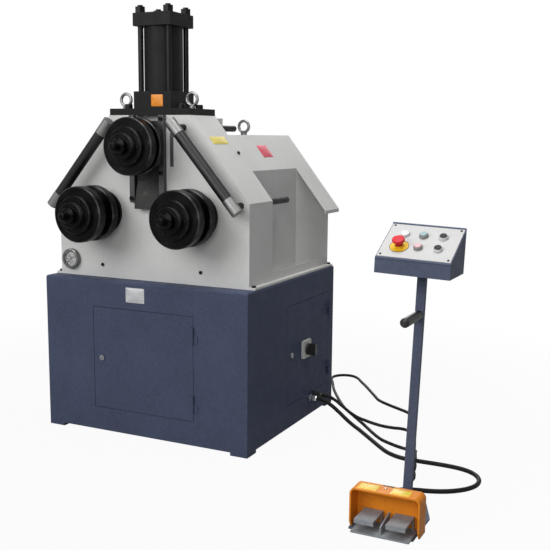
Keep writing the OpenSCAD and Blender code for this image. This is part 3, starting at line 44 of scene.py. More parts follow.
LEFT_TO_RIGHT = np.array((1.0, 0.0, 0.0))
FRONT_TO_BACK = np.array((0.0, 1.0, 0.0))
UPWARDS = np.array((0.0, 0.0, 1.0))
WHITE = (1.0, 1.0, 1.0, 1.0)

# ---------------------------------------------------------------- camera, light and floor

# The camera that fits the photo: its place, its angles in degrees, and its focal length and
# picture width in pixels
CAMERA_SPOT = (1.9332, -3.2218, 1.1783)
CAMERA_TURN, CAMERA_DIP, CAMERA_ROLL = 25.8965, 8.7779, 0.4696
FOCAL_PIXELS, PHOTO_PIXELS = 898.9313, 550.0
SENSOR_MM = 36.0
FAR_CLIP = 200.0

# Place, aim, width, height and watts of each lamp
LAMPS = {
    "key_lamp": ((-1.5, -4.8, 3.2), (0.1, -0.2, 0.8), 3.4, 3.0, 160.0),
    "fill_lamp": ((2.0, -4.8, 2.2), (0.2, -0.2, 0.8), 2.2, 2.4, 58.0),
    "top_lamp": ((0.8, -0.7, 4.6), (0.4, -0.2, 0.5), 3.0, 2.4, 126.0),
    "back_lamp": ((-1.6, 4.6, 2.6), (0.0, 0.2, 0.7), 3.0, 2.6, 120.0),
}
SKY_TINT, SKY_STRENGTH = (0.93, 0.96, 1.0, 1.0), 0.12
MIRROR_SHARE = 0.5

# The floor glows white by the least share up to the near distance, and wholly from the far one
FLOOR_REACH = 40.0
FLOOR_DARK, FLOOR_LIGHT = (0.22, 0.22, 0.22, 1.0), (0.26, 0.26, 0.26, 1.0)
GLOW_NEAR, GLOW_FAR, GLOW_LEAST = 1.2, 2.6, 0.95


def stand_camera():
    """Camera turned by azimuth a and dip d, so that ahead is (-sin a cos d, cos a cos d, -sin d),
    and then rolled about that line."""
    turn, dip, roll = np.radians((CAMERA_TURN, CAMERA_DIP, CAMERA_ROLL))
    ahead = np.array((-np.sin(turn) * np.cos(dip), np.cos(turn) * np.cos(dip), -np.sin(dip)))
    level = np.array((np.cos(turn), np.sin(turn), 0.0))
    above = np.cross(level, ahead)
    right = level * np.cos(roll) + above * np.sin(roll)
    up = above * np.cos(roll) - level * np.sin(roll)
    lens = bpy.data.cameras.new("photo_camera")
    lens.sensor_width = SENSOR_MM
    lens.lens = FOCAL_PIXELS / PHOTO_PIXELS * SENSOR_MM
    lens.clip_end = FAR_CLIP
    camera = bpy.data.objects.new("photo_camera", lens)
    pose = np.eye(4)
    pose[:3, :3] = np.stack((right, up, -ahead), axis=1)
    pose[:3, 3] = CAMERA_SPOT
    camera.matrix_world = Matrix(pose.tolist())
    stage.collection.objects.link(camera)
    stage.camera = camera


def softbox(name, spot, aim, width, height, watts):
    """Area lamp at spot whose -Z points at aim."""
    lamp = bpy.data.lights.new(name, "AREA")
    lamp.shape = "RECTANGLE"
    lamp.size, lamp.size_y, lamp.energy = width, height, watts
    lit = bpy.data.objects.new(name, lamp)
    back = np.subtract(spot, aim) / np.linalg.norm(np.subtract(spot, aim))
    side = np.cross(UPWARDS, back) / np.linalg.norm(np.cross(UPWARDS, back))
    pose = np.eye(4)
    pose[:3, :3] = np.stack((side, np.cross(back, side), back), axis=1)
    pose[:3, 3] = spot
    lit.matrix_world = Matrix(pose.tolist())
    stage.collection.objects.link(lit)


def add(tree, kind, sockets=None, **settings):
    """One node with its settings; a named socket takes another node's output or a plain value."""
    node = tree.nodes.new(kind)
    for key, value in settings.items():
        setattr(node, key, value)
    for key, value in (sockets or {}).items():
        if isinstance(value, bpy.types.NodeSocket):
            tree.links.new(value, node.inputs[key])
        else:
            node.inputs[key].default_value = value
    return node


def seen_ray(tree):
    """1 for rays from the camera or through glass, a share for those off a mirror, 0 for the
    light that falls on the object."""
    path = add(tree, "ShaderNodeLightPath")
    mirrored = add(tree, "ShaderNodeMath", {0: path.outputs["Is Glossy Ray"], 1: MIRROR_SHARE},
                   operation="MULTIPLY")
    first = add(tree, "ShaderNodeMath", {0: path.outputs["Is Camera Ray"], 1: mirrored.outputs[0]},
                operation="MAXIMUM")
    return add(tree, "ShaderNodeMath",
               {0: first.outputs[0], 1: path.outputs["Is Transmission Ray"]},
               operation="MAXIMUM").outputs[0]


def studio():
    """White surroundings, and soft lamps from the front left, the front right, above and behind."""
    world = bpy.data.worlds.new("white_studio")
    world.use_nodes = True
    tree = world.node_tree
    tree.nodes.clear()
    soft = add(tree, "ShaderNodeBackground", {"Color": SKY_TINT, "Strength": SKY_STRENGTH})
    white = add(tree, "ShaderNodeBackground", {"Color": WHITE, "Strength": 1.0})
    both = add(tree, "ShaderNodeMixShader",
               {0: seen_ray(tree), 1: soft.outputs[0], 2: white.outputs[0]})
    add(tree, "ShaderNodeOutputWorld", {"Surface": both.outputs[0]})
    stage.world = world
    for name, lamp in LAMPS.items():
        softbox(name, *lamp)


def pale_floor():
    """Fine-grained floor that is seen as nearly white, so that it keeps a faint shadow."""
    finish = bpy.data.materials.new("pale_floor")
    finish.use_nodes = True
    tree = finish.node_tree
    tree.nodes.clear()
    place = add(tree, "ShaderNodeTexCoord").outputs["Object"]
    grain = add(tree, "ShaderNodeTexNoise", {"Vector": place, "Scale": 40.0, "Detail": 4.0})
    shade = add(tree, "ShaderNodeValToRGB", {"Fac": grain.outputs[0]})
    shade.color_ramp.elements[0].color = FLOOR_DARK
    shade.color_ramp.elements[1].color = FLOOR_LIGHT
    matt = add(tree, "ShaderNodeBsdfDiffuse", {"Color": shade.outputs[0]})
    glow = add(tree, "ShaderNodeEmission", {"Color": WHITE, "Strength": 1.0})
    away = add(tree, "ShaderNodeVectorMath", {0: place}, operation="LENGTH").outputs["Value"]
    share = add(tree, "ShaderNodeMapRange",
                {"Value": away, "From Min": GLOW_NEAR, "From Max": GLOW_FAR,
                 "To Min": GLOW_LEAST, "To Max": 1.0})
    mix = add(tree, "ShaderNodeMath", {0: share.outputs[0], 1: seen_ray(tree)},
              operation="MULTIPLY")
    both = add(tree, "ShaderNodeMixShader",
               {0: mix.outputs[0], 1: matt.outputs[0], 2: glow.outputs[0]})
    add(tree, "ShaderNodeOutputMaterial", {"Surface": both.outputs[0]})
    mesh = bpy.data.meshes.new("studio_floor")
    mesh.from_pydata([(-FLOOR_REACH, -FLOOR_REACH, 0.0), (FLOOR_REACH, -FLOOR_REACH, 0.0),
                      (FLOOR_REACH, FLOOR_REACH, 0.0), (-FLOOR_REACH, FLOOR_REACH, 0.0)],
                     [], [(0, 1, 2, 3)])
    mesh.materials.append(finish)
    floor = bpy.data.objects.new("studio_floor", mesh)
    stage.collection.objects.link(floor)


# ---------------------------------------------------------------- surfaces

MERGE_GAP, THIN_EDGE = 1e-6, 1e-7
SHARP_ANGLE = math.radians(32.0)
NEARLY_UPRIGHT = 0.95
CORNER_STEPS = 7
ROUTE_STEPS = 12
MM_PER_M = 1000.0


def skin(name, grids, finish, body="machine"):
    """One piece from point grids (rows, columns, 3): a quad between neighbours, with columns that
    close on themselves. Equal points are merged, which closes poles, and faces turned outwards."""
    points, quads, first = [], [], 0
    for grid in grids:
        rows, columns = grid.shape[:2]
        number = first + np.arange(rows * columns).reshape(rows, columns)
        after = np.roll(number, -1, axis=1)
        corners = np.stack((number[:-1], after[:-1], after[1:], number[1:]), axis=-1)
        quads.append(corners.reshape(-1, 4))
        points.append(grid.reshape(-1, 3))
        first += rows * columns
    mesh = bpy.data.meshes.new(name)
    mesh.from_pydata(np.concatenate(points).tolist(), [], np.concatenate(quads).tolist())
    shell = bmesh.new()
    shell.from_mesh(mesh)
    bmesh.ops.remove_doubles(shell, verts=shell.verts, dist=MERGE_GAP)
    bmesh.ops.dissolve_degenerate(shell, edges=shell.edges, dist=THIN_EDGE)
    bmesh.ops.recalc_face_normals(shell, faces=shell.faces)
    shell.to_mesh(mesh)
    shell.free()
    mesh.shade_smooth()
    mesh.set_sharp_from_angle(angle=SHARP_ANGLE)
    mesh.materials.append(finish)
    piece = bpy.data.objects.new(name, mesh)
    stage.collection.objects.link(piece)
    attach(piece, body)
    return piece


def turned(profile, foot, axis, sides, flats=0, ribs=0, depth=0.0):
    """Rows of radius, height and ribbing turned about an axis: foot + height axis + radius
    (side cos t + across sin t). With flats the radius is that of a regular nut; ribs swell the
    radius by depth times the row's ribbing times the cosine of ribs t."""
    axis = np.asarray(axis, float) / np.linalg.norm(axis)
    side = np.cross(axis, UPWARDS if abs(axis[2]) < NEARLY_UPRIGHT else FRONT_TO_BACK)
    side /= np.linalg.norm(side)
    angle = np.linspace(0.0, 2.0 * np.pi, sides, endpoint=False)
    rows = np.array([(row + (0.0,))[:3] for row in profile])
    radius, height, ribbed = (rows[:, k, None] for k in range(3))
    if flats:
        step = 2.0 * np.pi / flats
        radius = radius * np.cos(step / 2.0) / np.cos(angle % step - step / 2.0)
    radius = radius * (1.0 + depth * ribbed * np.cos(ribs * angle))
    across = np.cross(axis, side)
    ring = np.cos(angle)[None, :, None] * side + np.sin(angle)[None, :, None] * across
    return np.asarray(foot) + height[..., None] * axis + radius[..., None] * ring


def plate(centre, across, up, width, height, thick, corner, lip):
    """Rounded plate: its outline, four quarter circles joined by straights, is carried from the
    middle of the back over the edge and a rounded lip to the middle of the front, which faces
    across x up."""
    across, up = np.asarray(across, float), np.asarray(up, float)
    out = np.cross(across, up)
    quarter = np.repeat(np.arange(4), CORNER_STEPS)
    angle = quarter * np.pi / 2.0 + np.tile(np.linspace(0.0, np.pi / 2.0, CORNER_STEPS), 4)
    side_x = np.array((1.0, -1.0, -1.0, 1.0))[quarter] * (width / 2.0 - corner)
    side_y = np.array((1.0, 1.0, -1.0, -1.0))[quarter] * (height / 2.0 - corner)
    bend = 0.3 * lip
    rows = np.array(((0.0, 0.0, 0.0), (1.0, 0.0, 0.0), (1.0, 0.0, thick - lip),
                     (1.0, bend, thick - bend), (1.0, lip, thick), (0.0, 0.0, thick)))
    share, inset, rise = (rows[:, k, None] for k in range(3))
    x = share * (side_x + (corner - inset) * np.cos(angle))
    y = share * (side_y + (corner - inset) * np.sin(angle))
    z = np.broadcast_to(rise, x.shape)
    return np.asarray(centre) + x[..., None] * across + y[..., None] * up + z[..., None] * out


def bar(centre, across, up, width, height, thick):
    """Flat mark: four corners carried from the middle of the back to the middle of the front."""
    across, up = np.asarray(across), np.asarray(up)
    x = np.array((1.0, -1.0, -1.0, 1.0)) * width / 2.0
    y = np.array((1.0, 1.0, -1.0, -1.0)) * height / 2.0
    flat = x[:, None] * across + y[:, None] * up
    rows = np.array(((0.0, 0.0), (1.0, 0.0), (1.0, thick), (0.0, thick)))
    share, rise = (rows[:, k, None, None] for k in range(2))
    return np.asarray(centre) + share * flat + rise * np.cross(across, up)


def smooth_route(points):
    """Cubic pieces through given points in millimetres; the direction at a point is that of the
    chord between its neighbours."""
    points = np.asarray(points, float) / MM_PER_M
    span = np.linalg.norm(np.diff(points, axis=0), axis=1)[:, None, None]
    slope = np.empty_like(points)
    slope[1:-1] = points[2:] - points[:-2]
    slope[0], slope[-1] = points[1] - points[0], points[-1] - points[-2]
    slope /= np.linalg.norm(slope, axis=1)[:, None]
    t = np.linspace(0.0, 1.0, ROUTE_STEPS, endpoint=False)[None, :, None]
    a, b = points[:-1, None], points[1:, None]
    m, n = slope[:-1, None] * span, slope[1:, None] * span
    curve = ((2 * t**3 - 3 * t**2 + 1) * a + (t**3 - 2 * t**2 + t) * m
             + (3 * t**2 - 2 * t**3) * b + (t**3 - t**2) * n)
    return np.concatenate((curve.reshape(-1, 3), points[-1:]))


def along(path):
    """Distance of each point of a path from its start."""
    return np.concatenate(((0.0,), np.cumsum(np.linalg.norm(np.diff(path, axis=0), axis=1))))


def tube(path, radius, sides=16):
    """Round section carried along a path: side is the path's direction x up, the section is
    side cos t + top sin t times the radius at that point, and both ends close on the path."""
    ahead = np.gradient(path, axis=0)
    ahead /= np.linalg.norm(ahead, axis=1)[:, None]
    side = np.cross(ahead, UPWARDS)
    side /= np.linalg.norm(side, axis=1)[:, None]
    top = np.cross(side, ahead)
    angle = np.linspace(0.0, 2.0 * np.pi, sides, endpoint=False)[None, :, None]
    ring = np.cos(angle) * side[:, None] + np.sin(angle) * top[:, None]
    wall = path[:, None] + np.broadcast_to(radius, len(path))[:, None, None] * ring
    ends = np.repeat(path[[0, -1]][:, None], sides, axis=1)
    return np.concatenate((ends[:1], wall, ends[1:]))


# ---------------------------------------------------------------- finishes

SPECULAR = "Specular IOR Level"
# Radii of a roll's turned rims, which get a painted highlight: paler colour where the chamfers
# catch the light
RIM_HIGHLIGHT_BANDS = ((0.1022, 0.1066), (0.0705, 0.0716), (0.0478, 0.0486))
# The bright collars of a guide carrier end between these depths
COLLAR_END = (-0.3845, -0.3835)


def tone(red, green, blue):
    """Linear colour of a screen colour: ((c + 0.055) / 1.055) to the power 2.4."""
    shares = np.array((red, green, blue)) / 255.0
    linear = np.where(shares <= 0.04045, shares / 12.92, ((shares + 0.055) / 1.055) ** 2.4)
    return tuple(float(c) for c in linear) + (1.0,)


def shaded(colour, share):
    """A colour scaled by a share."""
    return tuple(c * share for c in colour[:3]) + (1.0,)


class Finish:
    """One procedural finish on the object's own coordinates, in metres."""

    def __init__(self, name, **sockets):
        self.material = bpy.data.materials.new(name)
        self.material.use_nodes = True
        self.tree = self.material.node_tree
        self.tree.nodes.clear()
        self.shader = add(self.tree, "ShaderNodeBsdfPrincipled", sockets)
        add(self.tree, "ShaderNodeOutputMaterial", {"Surface": self.shader.outputs[0]})
        self.place = add(self.tree, "ShaderNodeTexCoord").outputs["Object"]
        self.normal = None

    def moved(self, centre=(0.0, 0.0, 0.0), stretch=(1.0, 1.0, 1.0)):
        """The coordinates with a piece's centre at zero, then stretched."""
        shifted = add(self.tree, "ShaderNodeVectorMath", {0: self.place, 1: centre},
                      operation="SUBTRACT")
        return add(self.tree, "ShaderNodeMapping",
                   {"Vector": shifted.outputs[0], "Scale": stretch}).outputs[0]

    def cloud(self, scale, detail, rough=0.55, place=None):
        """Soft noise from 0 to 1, scale cells to the metre."""
        return add(self.tree, "ShaderNodeTexNoise",
                   {"Vector": place or self.place, "Scale": scale, "Detail": detail,
                    "Roughness": rough}).outputs[0]

    def cells(self, scale):
        """Distance to the nearest of scattered points, rounded off, as in a hammered coat."""
        return add(self.tree, "ShaderNodeTexVoronoi",
                   {"Vector": self.place, "Scale": scale, "Smoothness": 0.8},
                   feature="SMOOTH_F1").outputs[0]

    def waves(self, scale, place, kind):
        """Turning marks: a sine of the distance from the Y axis (RINGS) or along it (BANDS)."""
        return add(self.tree, "ShaderNodeTexWave",
                   {"Vector": place, "Scale": scale, "Distortion": 0.6, "Detail": 2.0,
                    "Detail Scale": 1.5},
                   wave_type=kind, rings_direction="Y", bands_direction="Y").outputs[1]

    def spread(self, value, low, high, start=0.3, stop=0.7):
        """A value between start and stop drawn out from low to high."""
        return add(self.tree, "ShaderNodeMapRange",
                   {"Value": value, "From Min": start, "From Max": stop,
                    "To Min": low, "To Max": high}).outputs[0]

    def sums(self, a, b, kind="ADD"):
        """Sum, product or other plain arithmetic of two values."""
        return add(self.tree, "ShaderNodeMath", {0: a, 1: b}, operation=kind).outputs[0]

    def bands(self, value, edges):
        """1 where a value lies inside one of the bands (low, high), with soft edges, else 0."""
        inside = None
        for low, high in edges:
            middle, half = (low + high) / 2.0, (high - low) / 2.0
            off = self.sums(self.sums(value, middle, "SUBTRACT"), 0.0, "ABSOLUTE")
            near = self.spread(off, 1.0, 0.0, 0.8 * half, 1.1 * half)
            inside = near if inside is None else self.sums(inside, near, "MAXIMUM")
        return inside

    def colour(self, value, *stops):
        """Base colour from a value by stops of (place, colour)."""
        ramp = add(self.tree, "ShaderNodeValToRGB", {"Fac": value})
        steps = ramp.color_ramp.elements
        while len(steps) < len(stops):
            steps.new(0.5)
        for step, (spot, shade) in zip(steps, stops):
            step.position, step.color = spot, shade
        self.tree.links.new(ramp.outputs[0], self.shader.inputs["Base Color"])

    def gloss(self, value):
        """Roughness from a value."""
        self.tree.links.new(value, self.shader.inputs["Roughness"])

    def relief(self, value, depth, strength):
        """Bump of a value over a depth in metres, laid over the bumps before it."""
        sockets = {"Height": value, "Distance": depth, "Strength": strength}
        if self.normal:
            sockets["Normal"] = self.normal
        self.normal = add(self.tree, "ShaderNodeBump", sockets).outputs[0]
        self.tree.links.new(self.normal, self.shader.inputs["Normal"])
        return self


def powder_coat(name, colour, rough=0.46, vary=0.10, peel=420.0, depth=0.00035, shine=0.14):
    """Baked powder paint: clouds a little lighter and darker, orange peel and uneven gloss."""
    coat = Finish(name, **{SPECULAR: shine})
    broad = coat.sums(coat.cloud(5.0, 4.0), coat.cloud(90.0, 2.0))
    coat.colour(coat.spread(broad, 0.0, 1.0, 0.75, 1.25),
                (0.0, shaded(colour, 1.0 - vary)), (0.5, colour), (1.0, shaded(colour, 1.0 + vary)))
    coat.gloss(coat.spread(coat.cloud(28.0, 4.0), rough - 0.06, rough + 0.10))
    return coat.relief(coat.cloud(peel, 2.0), depth, 0.5).material


def hammered_coat(name, colour):
    """Hammer enamel: dimples about 4 mm apart over a broad cloud, glossier in the dimples."""
    coat = Finish(name, **{SPECULAR: 0.3})
    dimples = coat.cells(260.0)
    mottle = coat.sums(coat.cloud(4.0, 4.0), coat.cloud(240.0, 2.0))
    coat.colour(coat.spread(mottle, 0.0, 1.0, 0.75, 1.25),
                (0.0, shaded(colour, 0.91)), (0.5, colour), (1.0, shaded(colour, 1.06)))
    coat.gloss(coat.spread(dimples, 0.34, 0.52, 0.1, 0.7))
    return coat.relief(dimples, 0.0006, 0.35).relief(coat.cloud(60.0, 3.0), 0.0008, 0.12).material


def turned_steel(name, centre, dark, light):
    """Blackened lathe work: fine rings about a Y axis through the centre, worn paler in patches,
    and paler on the rims as a painted highlight."""
    steel = Finish(name, Metallic=1.0)
    place = steel.moved(centre)
    marks = steel.sums(steel.waves(230.0, place, "RINGS"), steel.waves(230.0, place, "BANDS"))
    worn = steel.sums(steel.cloud(16.0, 5.0, place=place),
                      steel.spread(marks, -0.12, 0.12, 0.3, 1.7))
    reach = add(steel.tree, "ShaderNodeVectorMath",
                {0: steel.moved(centre, stretch=(1.0, 0.0, 1.0))}, operation="LENGTH")
    # painted highlight: the rim bands push the colour paler on the rims, in place of the light the
    # chamfers catch
    rim_highlight = steel.bands(reach.outputs["Value"], RIM_HIGHLIGHT_BANDS)
    steel.colour(steel.sums(worn, steel.sums(rim_highlight, 0.24, "MULTIPLY")),
                 (0.25, dark), (0.6, shaded(dark, 1.7)), (1.0, light))
    steel.gloss(steel.spread(worn, 0.32, 0.56, 0.3, 0.8))
    return steel.relief(marks, 0.00012, 0.35).relief(steel.cloud(900.0, 2.0), 0.0001, 0.2).material


def ground_steel(name, colour, along_axis, rough, metallic=1.0):
    """Ground steel: noise drawn out along one axis into scratches, with faint handling marks."""
    steel = Finish(name, Metallic=metallic)
    stretch = tuple(12.0 if k == along_axis else 900.0 for k in range(3))
    scratch = steel.cloud(1.0, 4.0, 0.65, steel.moved(stretch=stretch))
    smudge = steel.cloud(22.0, 4.0)
    steel.colour(steel.sums(steel.spread(scratch, 0.0, 0.7), steel.spread(smudge, 0.0, 0.3)),
                 (0.1, shaded(colour, 0.72)), (0.55, colour), (1.0, shaded(colour, 1.2)))
    steel.gloss(steel.spread(smudge, rough - 0.08, rough + 0.12))
    return steel.relief(scratch, 0.00008, 0.4).material


def plated_steel(name, colour, rough=0.2):
    """Bright plating: faint clouds in tone and gloss, and a light ripple."""
    steel = Finish(name, Metallic=1.0)
    steel.colour(steel.cloud(70.0, 4.0), (0.3, shaded(colour, 0.82)), (0.7, colour))
    steel.gloss(steel.spread(steel.cloud(160.0, 3.0), rough - 0.05, rough + 0.12))
    return steel.relief(steel.cloud(500.0, 2.0), 0.0001, 0.25).material


def moulded_plastic(name, colour, rough, grain=900.0, **sockets):
    """Moulded plastic: spark-worn mould grain, small changes of tone and gloss."""
    plastic = Finish(name, **sockets)
    plastic.colour(plastic.sums(plastic.cloud(60.0, 3.0), plastic.cloud(600.0, 2.0), "MULTIPLY"),
                   (0.12, shaded(colour, 0.88)), (0.4, shaded(colour, 1.06)))
    plastic.gloss(plastic.spread(plastic.cloud(140.0, 3.0), rough - 0.06, rough + 0.1))
    return plastic.relief(plastic.cloud(grain, 2.0), 0.00015, 0.3).material


def carrier_steel(name):
    """Guide carrier: bright ground collars on the bar in front, black studs behind them."""
    steel = Finish(name, Metallic=1.0)
    depth = add(steel.tree, "ShaderNodeSeparateXYZ", {0: steel.place}).outputs["Y"]
    stud = steel.spread(depth, 0.0, 1.0, *COLLAR_END)
    grain = steel.cloud(1.0, 4.0, 0.65, steel.moved(stretch=(500.0, 40.0, 500.0)))
    shade = steel.sums(steel.spread(grain, 0.42, 0.62), steel.sums(stud, 0.42, "MULTIPLY"),
                       "SUBTRACT")
    steel.colour(shade, (0.0, (0.020, 0.020, 0.021, 1.0)), (0.22, (0.045, 0.045, 0.046, 1.0)),
                 (0.42, tone(118, 118, 117)), (0.62, tone(148, 148, 147)))
    steel.gloss(steel.spread(steel.cloud(40.0, 4.0), 0.42, 0.58))
    return steel.relief(grain, 0.00008, 0.4).material


def slide_coat(name):
    """Oiled dark slide: scaly black with paler worn patches, duller where it is worn."""
    steel = Finish(name, **{"Metallic": 0.25, SPECULAR: 0.25})
    worn = steel.sums(steel.cloud(14.0, 5.0), steel.spread(steel.cloud(180.0, 4.0), -0.1, 0.1))
    steel.colour(worn, (0.3, tone(24, 24, 24)), (0.55, tone(44, 43, 42)), (0.75, tone(80, 78, 75)))
    steel.gloss(steel.spread(worn, 0.38, 0.58))
    return steel.relief(steel.cloud(400.0, 3.0), 0.0002, 0.35).material


def cable_rubber(name):
    """Black cable sheath: dull, with dusty paler patches and a fine drawn grain."""
    sheath = Finish(name, **{SPECULAR: 0.2})
    sheath.colour(sheath.cloud(35.0, 5.0), (0.35, (0.004, 0.004, 0.0045, 1.0)),
                  (0.6, (0.008, 0.008, 0.0085, 1.0)), (0.8, (0.018, 0.018, 0.0185, 1.0)))
    sheath.gloss(sheath.spread(sheath.cloud(80.0, 4.0), 0.52, 0.72))
    return sheath.relief(sheath.cloud(1200.0, 2.0), 0.00012, 0.35).material


def clear_glass(name):
    """Gauge window: clear with smudges in its gloss."""
    pane = Finish(name, **{"Transmission Weight": 1.0, "IOR": 1.25, "Base Color": WHITE})
    pane.gloss(pane.spread(pane.cloud(60.0, 4.0), 0.0, 0.05))
    return pane.material


def wear(name, finish):
    """Give a CAD node one finish."""
    nodes[name].data.materials.clear()
    nodes[name].data.materials.append(finish)


stand_camera()
studio()
pale_floor()

cabinet_paint = powder_coat("cabinet_blue", tone(73, 80, 101), shine=0.05)
stand_paint = powder_coat("stand_blue", tone(86, 93, 113), 0.42, shine=0.06)
body_paint = hammered_coat("body_grey", tone(206, 206, 204))
cylinder_paint = powder_coat("cylinder_black", tone(24, 24, 25), 0.46, 0.18, 600.0, 0.0002)
guard_paint = powder_coat("guard_orange", tone(228, 138, 40), 0.42, 0.07, shine=0.08)
wiring_plate = powder_coat("wiring_plate_pale", tone(205, 207, 205), 0.5, 0.05)
panel_plate = powder_coat("panel_pale", tone(198, 198, 197), 0.5, 0.03, 800.0, 0.0001)
pedal_alloy = powder_coat("pedal_cast_grey", tone(138, 142, 146), 0.5, 0.16, 700.0, 0.0006)
plain_steel = ground_steel("ground_steel", tone(150, 152, 154), 2, 0.38)
gib_steel = ground_steel("gib_steel", tone(84, 84, 84), 2, 0.42, 0.6)
slide_steel = slide_coat("slide_dark")
guide_carrier_steel = carrier_steel("guide_carrier_steel")
scale_steel = ground_steel("scale_steel", tone(88, 88, 88), 0, 0.5, 0.2)
eye_steel = plated_steel("eye_steel", tone(138, 138, 138), 0.3)
bright_steel = plated_steel("bright_steel", tone(214, 216, 218))
guide_steel = ground_steel("guide_black", (0.042, 0.042, 0.043, 1.0), 1, 0.42)
black_oxide = ground_steel("black_oxide", (0.022, 0.022, 0.023, 1.0), 2, 0.42)
black_plastic = moulded_plastic("black_plastic", tone(30, 31, 32), 0.38)
grip_plastic = moulded_plastic("grip_black", tone(22, 22, 23), 0.46, 500.0)
grey_plastic = moulded_plastic("switch_grey", tone(196, 196, 190), 0.45)
red_plastic = moulded_plastic("stop_red", tone(212, 44, 54), 0.46, **{SPECULAR: 0.3})
pink_plastic = moulded_plastic("stop_cap_pink", tone(222, 180, 186), 0.5)
green_plastic = moulded_plastic("start_cap_green", tone(156, 180, 182), 0.5)
dark_caps = moulded_plastic("move_cap_dark", tone(60, 60, 61), 0.62, **{SPECULAR: 0.2})
pale_rims = moulded_plastic("rim_pale", tone(206, 207, 207), 0.4)
grey_rims = moulded_plastic("rim_grey", tone(136, 136, 134), 0.4)
lamp_plastic = moulded_plastic("lamp_white", tone(238, 240, 242), 0.22, 300.0,
                               **{"Transmission Weight": 0.15})
yellow_plate = moulded_plastic("stop_plate_yellow", tone(236, 190, 30), 0.42)
rubber = cable_rubber("cable_rubber")
glass = clear_glass("gauge_glass")
dial_paper = moulded_plastic("dial_pale", tone(150, 151, 150), 0.6)
case_steel = plated_steel("case_steel", tone(132, 132, 131), 0.3)
mark_ink = moulded_plastic("mark_black", tone(28, 28, 28), 0.5)
red_plate = moulded_plastic("side_plate_red", tone(216, 88, 104), 0.45)
pale_yellow = moulded_plastic("side_plate_yellow", tone(224, 206, 104), 0.45)
orange_plate = moulded_plastic("head_plate_orange", tone(228, 140, 36), 0.42)
patch_yellow = moulded_plastic("guard_patch_yellow", tone(240, 206, 60), 0.42)
name_steel = ground_steel("plate_alloy", tone(200, 201, 203), 0, 0.45, 0.35)

# Roll steel: black oxide, and a paler tone reached by real wear patches and by the painted
# highlight on the rims
OXIDE_DARK, OXIDE_WORN_AND_SHEEN = (0.007, 0.007, 0.0075, 1.0), (0.110, 0.110, 0.112, 1.0)
ROLLS = {"upper": (0.0, -0.486, 1.137), "lower_left": (-0.214, -0.512, 0.880),
         "lower_right": (0.214, -0.512, 0.880)}
for roll, centre in ROLLS.items():
    oxide = turned_steel(roll + "_oxide", centre, OXIDE_DARK, OXIDE_WORN_AND_SHEEN)
    for part in ("_roll", "_lock", "_shaft"):
        wear(roll + part, oxide)

WORN_BY = {
    cabinet_paint: "base_cabinet front_door side_door pump_motor",
    stand_paint: "control_stand console_box",
    body_paint: "front_frame hood oil_tank",
    cylinder_paint: "cylinder_plate cylinder_flanges cylinder_tube drive_motors",
    guard_paint: "pedal_guard",
    wiring_plate: "electrical_plate",
    panel_plate: "console_panel",
    pedal_alloy: "pedal_base left_pedal right_pedal",
    plain_steel: "hinge_pins front_lock side_lock",
    gib_steel: "slide_gibs",
    slide_steel: "slide_block",
    eye_steel: "eye_bolts",
    bright_steel: "piston_rod",
    case_steel: "gauge_case",
    guide_carrier_steel: "left_guide_carrier right_guide_carrier",
    guide_steel: "left_guide_roller right_guide_roller",
    black_oxide: "frame_bolts tie_rods lower_bearings upper_bearing",
    black_plastic: "switch_knob gauge_needle",
    grip_plastic: "post_grip",
    grey_plastic: "switch_plate",
    yellow_plate: "estop_plate",
}
for finish, names in WORN_BY.items():
    for name in names.split():
        wear(name, finish)

# ---------------------------------------------------------------- cables, with their glands

# Routes in millimetres: the first two start at the cabinet's glands, the loop at the upper bush
PEDAL_ROUTE = (
    (498, 149, 90), (530, 151, 84), (562, 155, 66), (594, 156, 43), (632, 144, 21), (672, 115, 11),
    (715, 75, 9), (795, -10, 8), (850, -70, 8), (900, -120, 8), (950, -150, 8), (1000, -160, 8),
    (1095, -158, 8), (1150, -159, 8), (1197, -166, 8), (1236, -184, 8), (1264, -213, 8),
    (1280, -252, 8), (1280, -296, 8), (1262, -338, 8), (1231, -373, 8), (1195, -398, 8),
    (1155, -415, 8), (1110, -430, 9), (1080, -450, 12), (1060, -480, 17), (1050, -525, 23),
    (1050, -580, 33), (1055, -647, 45), (1055, -687, 45))
CONTROL_ROUTE = (
    (498, 203, 90), (525, 205, 87), (555, 208, 75), (588, 206, 55), (628, 194, 36), (670, 174, 26),
    (710, 160, 22), (750, 155, 16), (790, 155, 11), (835, 150, 12), (870, 140, 17), (905, 115, 23),
    (935, 70, 28), (960, -15, 33), (1000, -150, 47), (1040, -275, 70), (1075, -360, 88),
    (1101, -425, 97), (1113.67, -473, 100), (1113.67, -513, 100))
LOOP_ROUTE = (
    (1114.77, -513, 130), (1114.77, -473, 130), (1101, -425, 126), (1080, -355, 112),
    (1056, -270, 84), (1014, -145, 44), (974, -10, 16), (938, 105, 8), (860, 330, 7),
    (825, 385, 7), (775, 420, 7), (725, 450, 7), (650, 505, 7), (610, 560, 7), (510, 705, 7),
    (470, 758, 7), (429, 814, 7), (387, 841, 7), (341, 831, 7), (315, 793, 7), (320, 747, 7),
    (350, 685, 7), (412, 556, 7), (545, 340, 7), (625, 245, 7), (695, 165, 7), (825, 15, 7),
    (890, -30, 8), (935, -60, 12), (965, -90, 20), (985, -135, 29), (1000, -190, 38),
    (1030, -275, 51), (1066, -360, 62), (1098, -425, 68), (1112.57, -473, 70), (1112.57, -513, 70))
FOOT_LEAD_R, CONTROL_LEAD_R = 0.008, 0.0065

SLEEVE_ROWS, SLEEVE_SIDES = 60, 24
SLEEVE_RINGS, RING_DEPTH, SLEEVE_WALL = 5, 0.0006, 0.0008

